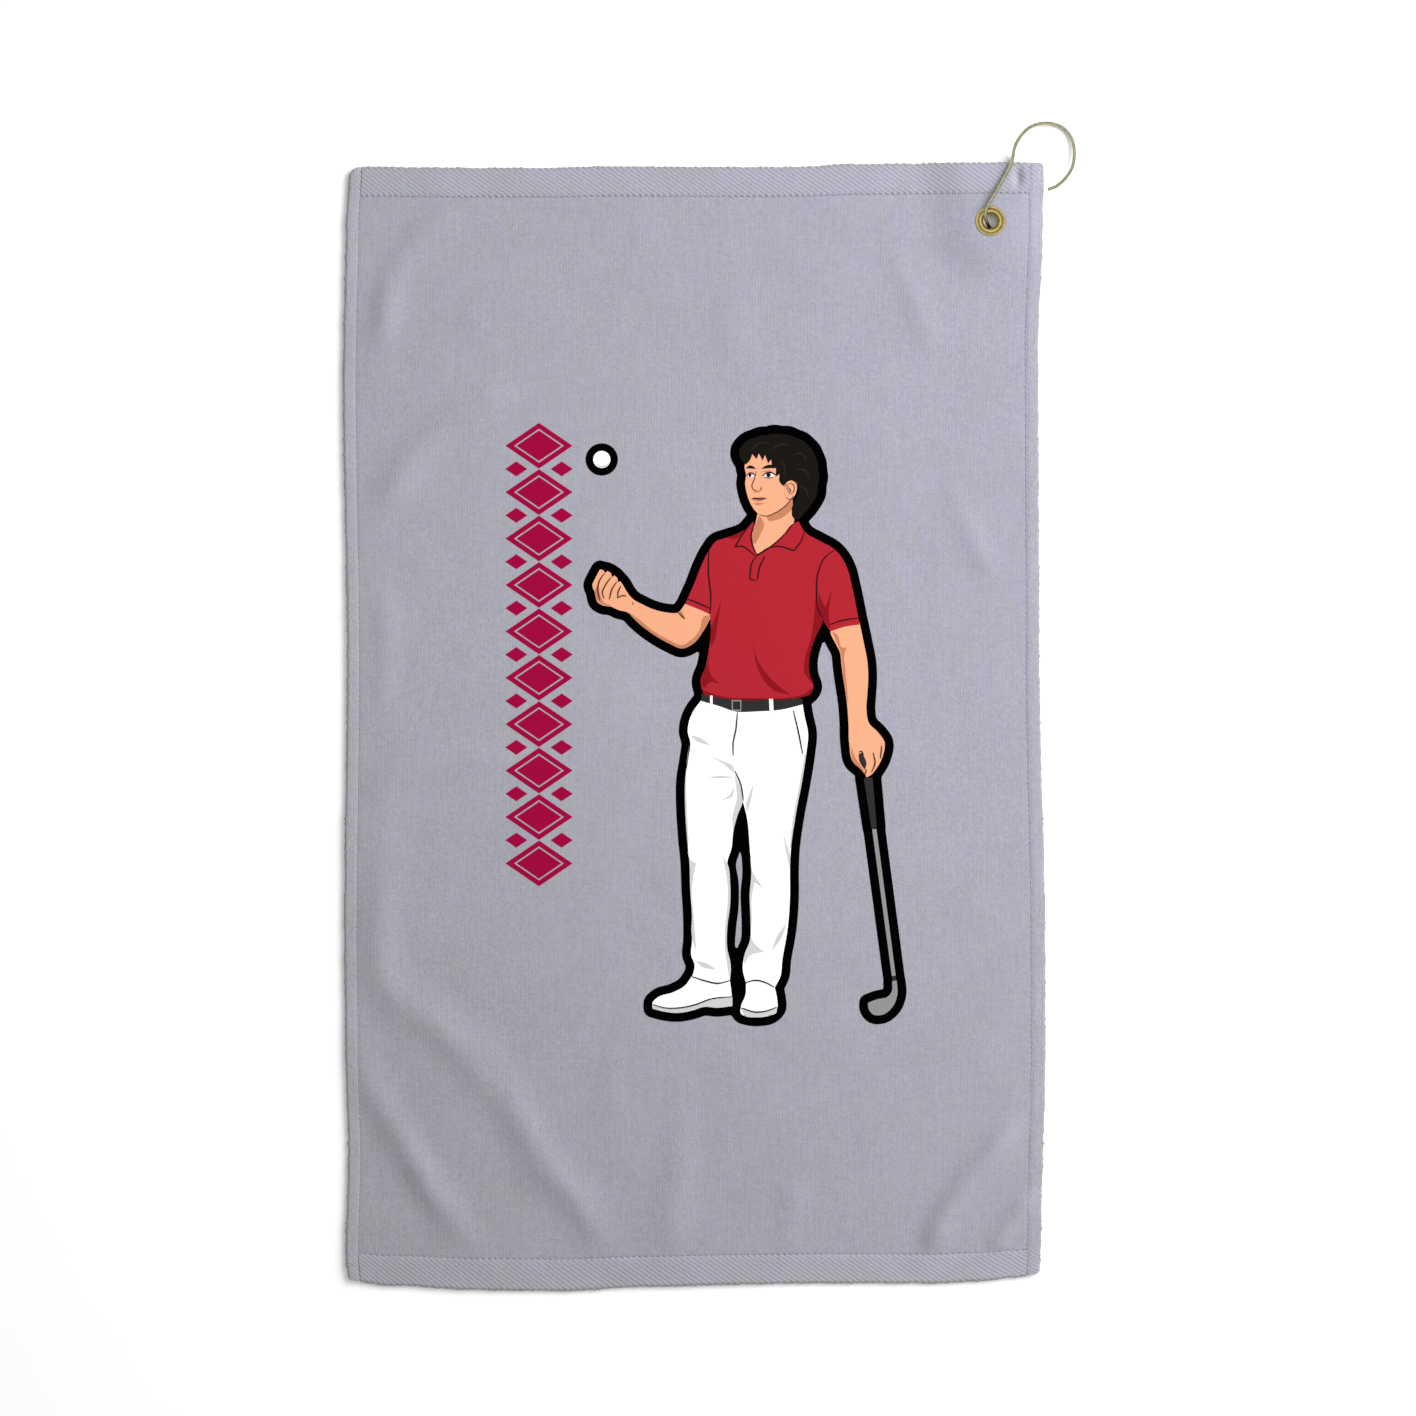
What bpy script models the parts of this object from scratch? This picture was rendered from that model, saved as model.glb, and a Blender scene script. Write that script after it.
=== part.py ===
"""Golf towel with a corner grommet and a wire bag hook, lying face up.

Frame: metres, +Z up. The towel lies on z = 0 with its printed face up, its length
along Y and its hook corner towards +X and +Y. The origin is the middle of the
underside. The cloth rises a few millimetres at the hook corner, because the back leg
of the hook lies underneath it.
"""

import math

import bmesh
import bpy
from mathutils import Vector

MM = 0.001

# Cloth
TOWEL_WIDTH = 406 * MM
TOWEL_LENGTH = 653 * MM
PANEL_THICKNESS = 2.4 * MM
HEM_THICKNESS = 2.8 * MM
END_HEM_DEPTH = 17 * MM
SIDE_HEM_DEPTH = 7 * MM

# Sewing: two threads of each row lie one above the other in the seam
THREAD_DIAMETER = 0.6 * MM
SEAM_GAP = 1.2 * MM
THREAD_SIDES = 6
BOBBIN_HEIGHT = 0.7 * MM
NEEDLE_HEIGHT = 2.2 * MM

# Grommet
GROMMET_FROM_SIDE = 30 * MM
GROMMET_FROM_TOP = 33.5 * MM
BORE_RADIUS = 4.0 * MM
BARREL_RADIUS = 4.5 * MM
FLANGE_RADIUS = 8.65 * MM
WASHER_RADIUS = 8.3 * MM
METAL = 0.4 * MM
FIT_GAP = 0.2 * MM
ROUND_STEPS = 32

# Hook wire
WIRE_DIAMETER = 2.1 * MM
BACK_LEG_HEIGHT = 1.1 * MM
WIRE_CLEARANCE = 0.3 * MM
WIRE_STEP = 1.5 * MM
RING_SLOPE = 0.19

# Heights in the grommet's stack, from the wire underneath to the flange on top
WIRE_TOP = BACK_LEG_HEIGHT + WIRE_DIAMETER / 2
LIP_BOTTOM = WIRE_TOP + WIRE_CLEARANCE
WASHER_BOTTOM = LIP_BOTTOM + METAL + FIT_GAP
CLOTH_LIFT = WASHER_BOTTOM + METAL + FIT_GAP
FLANGE_BOTTOM = CLOTH_LIFT + PANEL_THICKNESS + FIT_GAP

# Where the cloth is lifted: round the grommet, and in a fan from there to the top edge
LIFT_RADIUS = 11 * MM
LIFT_SPREAD = 6 * MM
LIFT_FALL = 28 * MM

HALF_WIDTH = TOWEL_WIDTH / 2
HALF_LENGTH = TOWEL_LENGTH / 2
GROMMET_X = HALF_WIDTH - GROMMET_FROM_SIDE
GROMMET_Y = HALF_LENGTH - GROMMET_FROM_TOP
PANEL_HALF_WIDTH = HALF_WIDTH - SIDE_HEM_DEPTH - SEAM_GAP
PANEL_HALF_LENGTH = HALF_LENGTH - END_HEM_DEPTH - SEAM_GAP


def clear_scene():
    for obj in list(bpy.data.objects):
        bpy.data.objects.remove(obj, do_unlink=True)


def material(name, color, roughness, metallic=0.0):
    made = bpy.data.materials.new(name)
    made.use_nodes = True
    shader = made.node_tree.nodes["Principled BSDF"]
    shader.inputs["Base Color"].default_value = (*color, 1.0)
    shader.inputs["Roughness"].default_value = roughness
    shader.inputs["Metallic"].default_value = metallic
    return made


def lift(x, y):
    """Height of the cloth's underside above the ground."""
    along = min(max((y - GROMMET_Y) / GROMMET_FROM_TOP, 0.0), 1.0)
    nearest = Vector((GROMMET_X, GROMMET_Y + along * GROMMET_FROM_TOP))
    outside = (Vector((x, y)) - nearest).length - LIFT_RADIUS - along * LIFT_SPREAD
    fall = min(max(outside / LIFT_FALL, 0.0), 1.0)
    return CLOTH_LIFT * (1.0 - fall * fall * (3.0 - 2.0 * fall))


def even_steps(start, end, step):
    count = max(1, round(abs(end - start) / step))
    return [start + (end - start) * i / count for i in range(count + 1)]


def lines_across(half):
    """X positions of the cloth's mesh lines: few on the flat, close near the hook."""
    return [-half, -half / 2, 0.0, 0.1, *even_steps(0.125, half, 0.0075)]


def lines_along(half):
    """Y positions of the cloth's mesh lines."""
    return [-half, -half / 2, 0.0, half / 2, 0.235, *even_steps(0.25, half, 0.0075)]


def new_object(name, bm, finish, smooth=False):
    bmesh.ops.recalc_face_normals(bm, faces=bm.faces)
    mesh = bpy.data.meshes.new(name)
    bm.to_mesh(mesh)
    bm.free()
    if smooth:
        mesh.shade_smooth()
        mesh.set_sharp_from_angle(angle=math.radians(40))
    mesh.materials.append(finish)
    obj = bpy.data.objects.new(name, mesh)
    bpy.context.scene.collection.objects.link(obj)
    return obj


def cloth_slab(name, x_lines, y_lines, thickness, finish):
    """A sheet with a top, an underside and walls, laid over the lifted corner."""
    bm = bmesh.new()
    sides = []
    for height in (0.0, thickness):
        sides.append(
            [[bm.verts.new((x, y, lift(x, y) + height)) for y in y_lines] for x in x_lines]
        )
    for grid in sides:
        for i in range(len(x_lines) - 1):
            for j in range(len(y_lines) - 1):
                bm.faces.new((grid[i][j], grid[i + 1][j], grid[i + 1][j + 1], grid[i][j + 1]))
    last_x = len(x_lines) - 1
    last_y = len(y_lines) - 1
    border = [(i, 0) for i in range(last_x)]
    border += [(last_x, j) for j in range(last_y)]
    border += [(i, last_y) for i in range(last_x, 0, -1)]
    border += [(0, j) for j in range(last_y, 0, -1)]
    low, high = sides
    for (i, j), (k, m) in zip(border, border[1:] + border[:1]):
        bm.faces.new((low[i][j], low[k][m], high[k][m], high[i][j]))
    return new_object(name, bm, finish)


def swept_strip(name, profile, stations, place, finish, smooth=False):
    """A closed outline (across, height) carried along stations, with flat ends."""
    bm = bmesh.new()
    loops = []
    for station in stations:
        loops.append([bm.verts.new(place(station, *point)) for point in profile])
    count = len(profile)
    for first, second in zip(loops, loops[1:]):
        for i in range(count):
            k = (i + 1) % count
            bm.faces.new((first[i], first[k], second[k], second[i]))
    bm.faces.new(loops[0])
    bm.faces.new(list(reversed(loops[-1])))
    return new_object(name, bm, finish, smooth)


def turned_ring(name, profile, centre, finish):
    """A closed outline (radius, height) turned once round a vertical axis."""
    bm = bmesh.new()
    loops = []
    for step in range(ROUND_STEPS):
        turn = 2 * math.pi * step / ROUND_STEPS
        loops.append(
            [bm.verts.new((r * math.cos(turn), r * math.sin(turn), z)) for r, z in profile]
        )
    count = len(profile)
    for first, second in zip(loops, loops[1:] + loops[:1]):
        for i in range(count):
            k = (i + 1) % count
            bm.faces.new((first[i], first[k], second[k], second[i]))
    ring = new_object(name, bm, finish, smooth=True)
    ring.location = centre
    return ring


def fold_profile(depth):
    """Section of a turned-over hem: a round fold outside, a square edge inside."""
    round_steps = 4
    radius = HEM_THICKNESS / 2
    points = []
    for step in range(round_steps + 1):
        angle = math.pi / 2 + math.pi * step / round_steps
        points.append((radius + radius * math.cos(angle), radius + radius * math.sin(angle)))
    return [*points, (depth, 0.0), (depth, HEM_THICKNESS)]


def thread_profile(height):
    turns = [2 * math.pi * i / THREAD_SIDES for i in range(THREAD_SIDES)]
    radius = THREAD_DIAMETER / 2
    return [(radius * math.cos(a), height + radius * math.sin(a)) for a in turns]


def across_towel(edge_y, inward):
    """Places a strip that runs along X, measured inwards from an end of the towel."""

    def place(station, across, height):
        y = edge_y + inward * across
        return (station, y, height + lift(station, y))

    return place


def along_towel(edge_x, inward):
    """Places a strip that runs along Y, measured inwards from a side of the towel."""

    def place(station, across, height):
        x = edge_x + inward * across
        return (x, station, height + lift(x, station))

    return place


def make_panel(finish):
    x_lines = lines_across(PANEL_HALF_WIDTH)
    y_lines = lines_along(PANEL_HALF_LENGTH)
    panel = cloth_slab("terry_panel", x_lines, y_lines, PANEL_THICKNESS, finish)
    bm = bmesh.new()
    bmesh.ops.create_cone(
        bm,
        cap_ends=True,
        segments=ROUND_STEPS,
        radius1=BARREL_RADIUS + FIT_GAP,
        radius2=BARREL_RADIUS + FIT_GAP,
        depth=20 * MM,
    )
    cutter = new_object("grommet_hole_cutter", bm, finish)
    cutter.location = (GROMMET_X, GROMMET_Y, CLOTH_LIFT)
    cutter.hide_render = True
    cutter.display_type = "WIRE"
    hole = panel.modifiers.new("grommet_hole", "BOOLEAN")
    hole.operation = "DIFFERENCE"
    hole.object = cutter


def make_hems(finish):
    end_stations = lines_across(PANEL_HALF_WIDTH)
    side_stations = lines_along(HALF_LENGTH)
    end_fold = fold_profile(END_HEM_DEPTH)
    side_fold = fold_profile(SIDE_HEM_DEPTH)
    for name, end in (("top_hem", 1), ("bottom_hem", -1)):
        swept_strip(name, end_fold, end_stations, across_towel(end * HALF_LENGTH, -end), finish)
    for name, side in (("right_hem", 1), ("left_hem", -1)):
        swept_strip(name, side_fold, side_stations, along_towel(side * HALF_WIDTH, -side), finish)


def make_stitching(finish):
    """A needle thread above and a bobbin thread below in each of the four seams."""
    end_half = PANEL_HALF_WIDTH - THREAD_DIAMETER
    side_half = HALF_LENGTH - HEM_THICKNESS
    end_seam = END_HEM_DEPTH + SEAM_GAP / 2
    side_seam = SIDE_HEM_DEPTH + SEAM_GAP / 2
    for thread, height in (("needle", NEEDLE_HEIGHT), ("bobbin", BOBBIN_HEIGHT)):
        profile = thread_profile(height)
        for edge, end in (("top", 1), ("bottom", -1)):
            swept_strip(
                f"{edge}_hem_{thread}_thread",
                profile,
                lines_across(end_half),
                across_towel(end * (HALF_LENGTH - end_seam), -end),
                finish,
                smooth=True,
            )
        for edge, side in (("right", 1), ("left", -1)):
            swept_strip(
                f"{edge}_hem_{thread}_thread",
                profile,
                lines_along(side_half),
                along_towel(side * (HALF_WIDTH - side_seam), -side),
                finish,
                smooth=True,
            )


def dome_height(radius):
    """Height of the flange's outer skin above its rim, from the bore to the rim."""
    crown_radius = 5.8 * MM
    crown_height = 1.15 * MM
    reach = FLANGE_RADIUS - crown_radius if radius > crown_radius else crown_radius - BORE_RADIUS
    off_crown = abs(radius - crown_radius) / reach
    return crown_height * math.sqrt(max(0.0, 1.0 - off_crown**2.4))


def make_grommet(finish):
    centre = (GROMMET_X, GROMMET_Y, 0.0)

    # The eyelet: a domed flange on the front, a barrel through the cloth and a lip
    # that is rolled out under the washer.
    outer_radii = even_steps(BORE_RADIUS, FLANGE_RADIUS, 0.5 * MM)
    skin = [(r, FLANGE_BOTTOM + dome_height(r)) for r in outer_radii]
    hollow_radii = even_steps(FLANGE_RADIUS - METAL, BARREL_RADIUS, 0.6 * MM)
    hollow = [
        (r, max(FLANGE_BOTTOM, FLANGE_BOTTOM + dome_height(r) - METAL)) for r in hollow_radii
    ]
    lip_radius = BARREL_RADIUS + 1.3 * MM
    lip = [
        (BARREL_RADIUS, LIP_BOTTOM + METAL),
        (lip_radius - METAL / 2, LIP_BOTTOM + METAL),
        (lip_radius, LIP_BOTTOM + METAL / 2),
        (lip_radius - METAL / 2, LIP_BOTTOM),
        (BORE_RADIUS + METAL / 2, LIP_BOTTOM),
        (BORE_RADIUS, LIP_BOTTOM + METAL / 2),
    ]
    turned_ring("grommet_eyelet", [*skin, *hollow, *lip], centre, finish)

    # The neck washer on the back, whose rim turns up into the cloth's underside.
    inner = BARREL_RADIUS + FIT_GAP
    top = WASHER_BOTTOM + METAL
    washer = [
        (inner, WASHER_BOTTOM),
        (WASHER_RADIUS - METAL, WASHER_BOTTOM),
        (WASHER_RADIUS, WASHER_BOTTOM + METAL / 2),
        (WASHER_RADIUS, top),
        (inner, top),
    ]
    turned_ring("grommet_washer", washer, centre, finish)


# The wire's route in mm from the grommet's axis, starting at its open tip. The ring is
# slightly longer than wide, and leans down until its far side meets the ground.
RING = [
    (33.3, 18.1),
    (38.0, 20.0),
    (43.8, 25.1),
    (47.5, 31.0),
    (49.0, 39.0),
    (48.4, 45.5),
    (46.1, 50.9),
    (42.0, 54.9),
    (37.4, 56.8),
    (32.5, 57.3),
    (27.8, 56.7),
    (23.1, 54.7),
    (19.0, 51.1),
    (16.0, 47.0),
    (13.9, 42.2),
    (12.9, 37.0),
]
KINK_AND_FRONT_LEG = [
    (12.2, 33.5, 8.0),
    (11.3, 31.8, 8.05),
    (8.2, 25.9, 8.2),
    (4.4, 19.2, 8.35),
    (0.8, 12.9, 8.5),
    (-1.1, 9.7, 8.6),
    (-2.3, 7.3, 8.65),
    (-3.0, 5.1, 8.65),
]
BEND_THROUGH_BORE = [
    (-3.3, 3.2, 8.4),
    (-3.05, 1.6, 7.75),
    (-2.55, 0.3, 6.5),
    (-1.8, -1.0, 4.7),
    (-1.0, -2.2, 2.8),
    (-0.1, -3.25, 1.45),
    (0.9, -4.2, 1.1),
]
BACK_LEG_AND_CLOSING_END = [
    (2.6, -4.6, 1.1),
    (4.3, -3.8, 1.1),
    (5.6, -1.7, 1.1),
    (6.3, 1.2, 1.1),
    (7.0, 5.0, 1.1),
    (9.6, 19.0, 1.1),
    (12.0, 31.5, 1.1),
    (12.7, 35.2, 1.15),
    (13.0, 36.8, 1.45),
    (13.15, 37.9, 2.3),
    (13.2, 38.3, 3.4),
    (13.2, 38.2, 4.5),
]


def ring_points():
    lean = Vector((math.sin(math.radians(39)), math.cos(math.radians(39))))
    return [(x, y, 7.9 - RING_SLOPE * (Vector((x, y)).dot(lean) - 34.2)) for x, y in RING]


def smooth_route(points, step):
    """Points every step or so along a smooth curve through the given points."""
    tangents = []
    for i, point in enumerate(points):
        before = points[max(i - 1, 0)]
        after = points[min(i + 1, len(points) - 1)]
        back = max((point - before).length, 1e-9)
        ahead = max((after - point).length, 1e-9)
        if i == 0:
            tangents.append((after - point) / ahead)
        elif i == len(points) - 1:
            tangents.append((point - before) / back)
        else:
            pull = (point - before) / back * ahead + (after - point) / ahead * back
            tangents.append(pull / (back + ahead))
    route = [points[0]]
    for i in range(len(points) - 1):
        start = points[i]
        end = points[i + 1]
        length = (end - start).length
        count = max(1, round(length / step))
        for n in range(1, count + 1):
            t = n / count
            bezier = [start, start + tangents[i] * length / 3, end - tangents[i + 1] * length / 3, end]
            route.append(
                bezier[0] * (1 - t) ** 3
                + bezier[1] * 3 * t * (1 - t) ** 2
                + bezier[2] * 3 * t * t * (1 - t)
                + bezier[3] * t**3
            )
    return route


def make_hook(finish):
    """One bent wire on an empty that marks the axis it swings about."""
    axis = bpy.data.objects.new("hook_swing_axis", None)
    axis.location = (GROMMET_X, GROMMET_Y, 0.0)
    bpy.context.scene.collection.objects.link(axis)

    by_hand = ring_points() + KINK_AND_FRONT_LEG + BEND_THROUGH_BORE + BACK_LEG_AND_CLOSING_END
    route = smooth_route([Vector(point) * MM for point in by_hand], WIRE_STEP)
    curve = bpy.data.curves.new("wire_hook", "CURVE")
    curve.dimensions = "3D"
    curve.bevel_depth = WIRE_DIAMETER / 2
    curve.bevel_resolution = 2
    curve.use_fill_caps = True
    curve.materials.append(finish)
    spline = curve.splines.new("POLY")
    spline.points.add(len(route) - 1)
    for slot, point in zip(spline.points, route):
        slot.co = (*point, 1.0)
    hook = bpy.data.objects.new("wire_hook", curve)
    bpy.context.scene.collection.objects.link(hook)
    hook.parent = axis


def main():
    clear_scene()
    velour = material("velour_cloth", (0.44, 0.44, 0.50), 0.95)
    twill = material("twill_hem", (0.42, 0.42, 0.48), 0.9)
    thread = material("sewing_thread", (0.30, 0.30, 0.35), 0.8)
    brass = material("polished_brass", (0.72, 0.56, 0.22), 0.25, metallic=1.0)
    wire = material("brass_plated_wire", (0.70, 0.62, 0.38), 0.28, metallic=1.0)
    make_panel(velour)
    make_hems(twill)
    make_stitching(thread)
    make_grommet(brass)
    make_hook(wire)


main()
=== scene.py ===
"""Looks of the golf towel: velour cloth, twill hems, stitching, print, grommet and hook.

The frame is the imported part's: metres, +Z up, the towel face up on z = 0 with its
hook corner towards +X and +Y. Cloth pieces are shaped flat, in the towel's own X and Y,
and laid() then puts them where the towel lies, with its ripples and uneven edges.
"""

import math

import bmesh
import bpy
import numpy as np
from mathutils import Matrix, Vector, geometry


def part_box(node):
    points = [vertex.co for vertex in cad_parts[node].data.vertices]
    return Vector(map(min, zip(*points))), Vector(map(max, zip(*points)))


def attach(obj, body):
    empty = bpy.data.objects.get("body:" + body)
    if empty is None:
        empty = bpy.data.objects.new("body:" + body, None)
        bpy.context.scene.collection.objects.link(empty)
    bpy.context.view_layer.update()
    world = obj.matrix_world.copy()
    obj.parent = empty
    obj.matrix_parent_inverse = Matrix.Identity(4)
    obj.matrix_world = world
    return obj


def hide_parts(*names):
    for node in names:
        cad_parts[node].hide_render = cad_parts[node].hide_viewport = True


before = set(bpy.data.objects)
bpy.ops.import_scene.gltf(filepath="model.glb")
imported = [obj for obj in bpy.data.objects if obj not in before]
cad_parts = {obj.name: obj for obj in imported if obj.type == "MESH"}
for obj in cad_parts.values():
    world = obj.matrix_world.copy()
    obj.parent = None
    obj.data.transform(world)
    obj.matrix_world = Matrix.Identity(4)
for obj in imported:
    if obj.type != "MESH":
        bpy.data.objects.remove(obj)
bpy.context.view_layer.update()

MM = 0.001

# A route turns a corner where the cosine of its turn is below this; else it runs smoothly
SHARPEST_TURN = 0.35
# Random numbers each way before lattice_noise repeats
LATTICE_SIZE = 256
# A start for the search of a shortest distance, longer than any on the towel
FAR = 1.0
SHORTEST_RUN = 1e-8

# Cloth, in the sizes that part.py uses
PANEL_THICKNESS = 2.4 * MM
HEM_THICKNESS = 2.8 * MM
END_HEM_DEPTH = 17 * MM
SIDE_HEM_DEPTH = 7 * MM
SEAM_GAP = 1.2 * MM
THREAD_RADIUS = 0.3 * MM
SEAM_EDGE = 0.15 * MM

HALF_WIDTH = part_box("right_hem")[1].x
HALF_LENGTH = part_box("right_hem")[1].y
EYELET_LOW, EYELET_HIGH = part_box("grommet_eyelet")
GROMMET = (EYELET_LOW + EYELET_HIGH) / 2
GROMMET_FROM_TOP = HALF_LENGTH - GROMMET.y

# Middle of the gap between the panel and an end hem or a side hem
END_SEAM = HALF_LENGTH - END_HEM_DEPTH - SEAM_GAP / 2
SIDE_SEAM = HALF_WIDTH - SIDE_HEM_DEPTH - SEAM_GAP / 2

# Heights in the grommet's stack, and where the cloth is lifted over the hook's back leg
METAL = 0.4 * MM
FIT_GAP = 0.2 * MM
LIP_BOTTOM = EYELET_LOW.z
WASHER_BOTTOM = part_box("grommet_washer")[0].z
CLOTH_LIFT = WASHER_BOTTOM + METAL + FIT_GAP
FLANGE_BOTTOM = CLOTH_LIFT + PANEL_THICKNESS + FIT_GAP
BARREL_RADIUS = 4.5 * MM
LIFT_RADIUS = 11 * MM
LIFT_SPREAD = 6 * MM
LIFT_FALL = 28 * MM


# ---------------------------------------------------------------- helpers on numbers


def eased(t):
    """0 to 1 as t goes from 0 to 1, level at both ends."""
    t = np.clip(t, 0.0, 1.0)
    return t * t * (3.0 - 2.0 * t)


def between(value, stops):
    """Reads a list of (place, amount) stops in mm, easing from each to the next."""
    places = np.array([stop[0] for stop in stops]) * MM
    amounts = np.array([stop[1] for stop in stops]) * MM
    value = np.clip(value, places[0], places[-1])
    after = np.clip(np.searchsorted(places, value), 1, len(places) - 1)
    step = eased((value - places[after - 1]) / (places[after] - places[after - 1]))
    return amounts[after - 1] + step * (amounts[after] - amounts[after - 1])


def lattice_noise(x, y, cell, seed):
    """Smooth noise from 0 to 1 with bumps about one cell wide."""
    lattice = np.random.RandomState(seed).rand(LATTICE_SIZE, LATTICE_SIZE)
    u = np.asarray(x) / cell + LATTICE_SIZE / 2
    v = np.asarray(y) / cell + LATTICE_SIZE / 2
    i = np.floor(u).astype(int)
    j = np.floor(v).astype(int)
    share_u = eased(u - i)
    share_v = eased(v - j)

    def row(j):
        left = lattice[i % LATTICE_SIZE, j % LATTICE_SIZE]
        right = lattice[(i + 1) % LATTICE_SIZE, j % LATTICE_SIZE]
        return left * (1 - share_u) + right * share_u

    return row(j) * (1 - share_v) + row(j + 1) * share_v


def beside_run(x, y, start, end):
    """Distance of places from the straight run between two points, and where along it."""
    run = end - start
    t = ((x - start[0]) * run[0] + (y - start[1]) * run[1]) / max(run @ run, SHORTEST_RUN**2)
    t = np.clip(t, 0.0, 1.0)
    return np.hypot(x - start[0] - t * run[0], y - start[1] - t * run[1]), t


def smooth_route(points, step, closed=False):
    """Points every step or so along a smooth curve, with a corner at each sharp turn."""
    points = [Vector(point) for point in points]
    count = len(points)
    arrivals = []
    departures = []
    for i, point in enumerate(points):
        before = points[i - 1] if closed or i else point
        after = points[(i + 1) % count] if closed or i < count - 1 else point
        back = (point - before).length
        ahead = (after - point).length
        if back == 0 or ahead == 0:
            heading = (after - before).normalized()
            arrivals.append(heading)
            departures.append(heading)
            continue
        arrival = (point - before) / back
        departure = (after - point) / ahead
        if arrival.dot(departure) > SHARPEST_TURN:
            heading = (arrival * ahead + departure * back) / (back + ahead)
            arrival = heading
            departure = heading
        arrivals.append(arrival)
        departures.append(departure)
    route = [] if closed else [points[0]]
    for i in range(count if closed else count - 1):
        start = points[i]
        end = points[(i + 1) % count]
        length = (end - start).length
        if length == 0:
            continue
        first = start + departures[i] * length / 3
        second = end - arrivals[(i + 1) % count] * length / 3
        steps = max(1, round(length / step))
        for n in range(1, steps + 1):
            t = n / steps
            u = 1 - t
            route.append(start * u**3 + first * 3 * t * u * u + second * 3 * t * t * u + end * t**3)
    return route


# ---------------------------------------------------------------- how the towel lies

# Ripples: points along the crest in mm, half-width in mm, height in mm
RIPPLES = [
    (
        [(-177, -48), (-181, -100), (-180, -151), (-148, -177), (-118, -206), (-83, -256), (-42, -312)],
        11, 3.0,
    ),
    (
        [(-195, -180), (-190, -206), (-180, -228), (-166, -250), (-150, -274), (-135, -293),
         (-120, -312)],
        9, 3.0,
    ),
    ([(-128, -176), (-112, -196), (-98, -222)], 7, 0.9),
    ([(-176, -224), (-163, -246), (-152, -266)], 6, 0.9),
    ([(-78, -260), (-64, -282), (-54, -302)], 6, 0.9),
    ([(-196, -52), (-181, -33), (-147, -23), (-100, -20)], 9, 1.6),
    ([(-190, 118), (-178, 134), (-163, 156), (-135, 181), (-98, 200)], 10, 2.1),
    ([(-182, 208), (-180, 236), (-176, 258), (-167, 276), (-150, 291), (-130, 302)], 8, 2.1),
    ([(-183, 85), (-180, 50), (-183, 10)], 7, 0.9),
    ([(192, -222), (179, -242), (157, -270), (134, -312)], 8, 3.0),
    ([(200, -268), (190, -284), (174, -310)], 6, 2.2),
    ([(-5, -215), (-8, -255), (-13, -312)], 10, 1.5),
    ([(-46, -180), (-47, -205), (-46, -232)], 7, 0.8),
    ([(58, -262), (57, -285), (54, -312)], 7, 1.1),
    ([(112, 284), (125, 255), (142, 214)], 7, 0.8),
    ([(146, 148), (159, 118), (176, 84)], 7, 0.8),
    ([(20, 300), (24, 250), (22, 200)], 12, 0.6),
]

# Soft swells all over the cloth: height and width in mm, and the seed of their noise
SWELLS = ((0.7, 62, 3), (0.35, 21, 4))

# A dent beside the hook's back leg, where the hem is pinched: place, half-width, depth in mm
DENT = ((188.5, 318), 3.4, 2.2)

# How far each edge lies from a straight line: (place along it, shift) in mm
TOP_DRIFT = [
    (-203, -1.9), (-125, -2.6), (-85, -2.6), (-45, -1.7), (25, -2.2), (60, -2.0), (95, -0.3),
    (150, 0.2), (203, 0.4),
]
BOTTOM_DRIFT = [
    (-203, 3.4), (-177, 0.6), (-120, -2.0), (-80, -2.6), (-22, 0.1), (25, 1.4), (72, 2.1),
    (142, 2.0), (168, 3.2), (188, 5.4), (203, 7.0),
]
LEFT_DRIFT = [
    (-326, 2.4), (-311, 1.2), (-250, 2.8), (-190, 1.0), (-120, 0.4), (38, 2.1), (201, -0.4),
    (290, 1.4), (326, 3.4),
]
RIGHT_DRIFT = [
    (-326, -1.3), (-290, -0.5), (-195, 1.9), (-125, 1.8), (38, -1.6), (225, -2.2), (290, 0.4),
    (326, 0.7),
]
DRIFT_REACH = 90 * MM
CORNER_RADIUS = {(-1, 1): 6 * MM, (1, 1): 2 * MM, (-1, -1): 3 * MM, (1, -1): 3 * MM}


def fan_distance(x, y):
    """Distance outside the part of the towel that the hook's back leg lifts."""
    along = np.clip((y - GROMMET.y) / GROMMET_FROM_TOP, 0.0, 1.0)
    distance = np.hypot(x - GROMMET.x, y - GROMMET.y - along * GROMMET_FROM_TOP)
    return distance - LIFT_RADIUS - along * LIFT_SPREAD


def ripple(x, y, crest, half_width, height):
    """Height of one ripple: a soft ridge along its crest that fades at both ends."""
    route = [Vector(point) * MM for point in crest]
    route = np.array([tuple(point) for point in smooth_route(route, 8 * MM)])
    best = np.full(x.shape, FAR)
    place = np.zeros(x.shape)
    last = len(route) - 1
    for i in range(last):
        distance, t = beside_run(x, y, route[i], route[i + 1])
        place = np.where(distance < best, (i + t) / last, place)
        best = np.minimum(best, distance)
    ends = eased(place / 0.3) * eased((1.0 - place) / 0.2)
    uneven = 0.5 + lattice_noise(x, y, 34 * MM, 13)
    return height * MM * uneven * (0.15 + 0.85 * ends) * np.exp(-((best / (half_width * MM)) ** 2))


def drape(x, y):
    """Height of the cloth's underside: the lifted corner, the ripples and the swells."""
    outside = fan_distance(x, y)
    lifted = CLOTH_LIFT * (1.0 - eased(outside / LIFT_FALL))
    rippled = sum(ripple(x, y, *crest) for crest in RIPPLES)
    for height, width, seed in SWELLS:
        rippled = rippled + height * MM * lattice_noise(x, y, width * MM, seed)
    (dent_x, dent_y), dent_width, dent_depth = DENT
    dent = ((x - dent_x * MM) / 0.8) ** 2 + ((y - dent_y * MM) / 1.6) ** 2
    dent = dent_depth * MM * np.exp(-dent / (dent_width * MM) ** 2)
    return np.maximum(lifted + rippled * eased((outside - 6 * MM) / (34 * MM)) - dent, 0.0)


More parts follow.
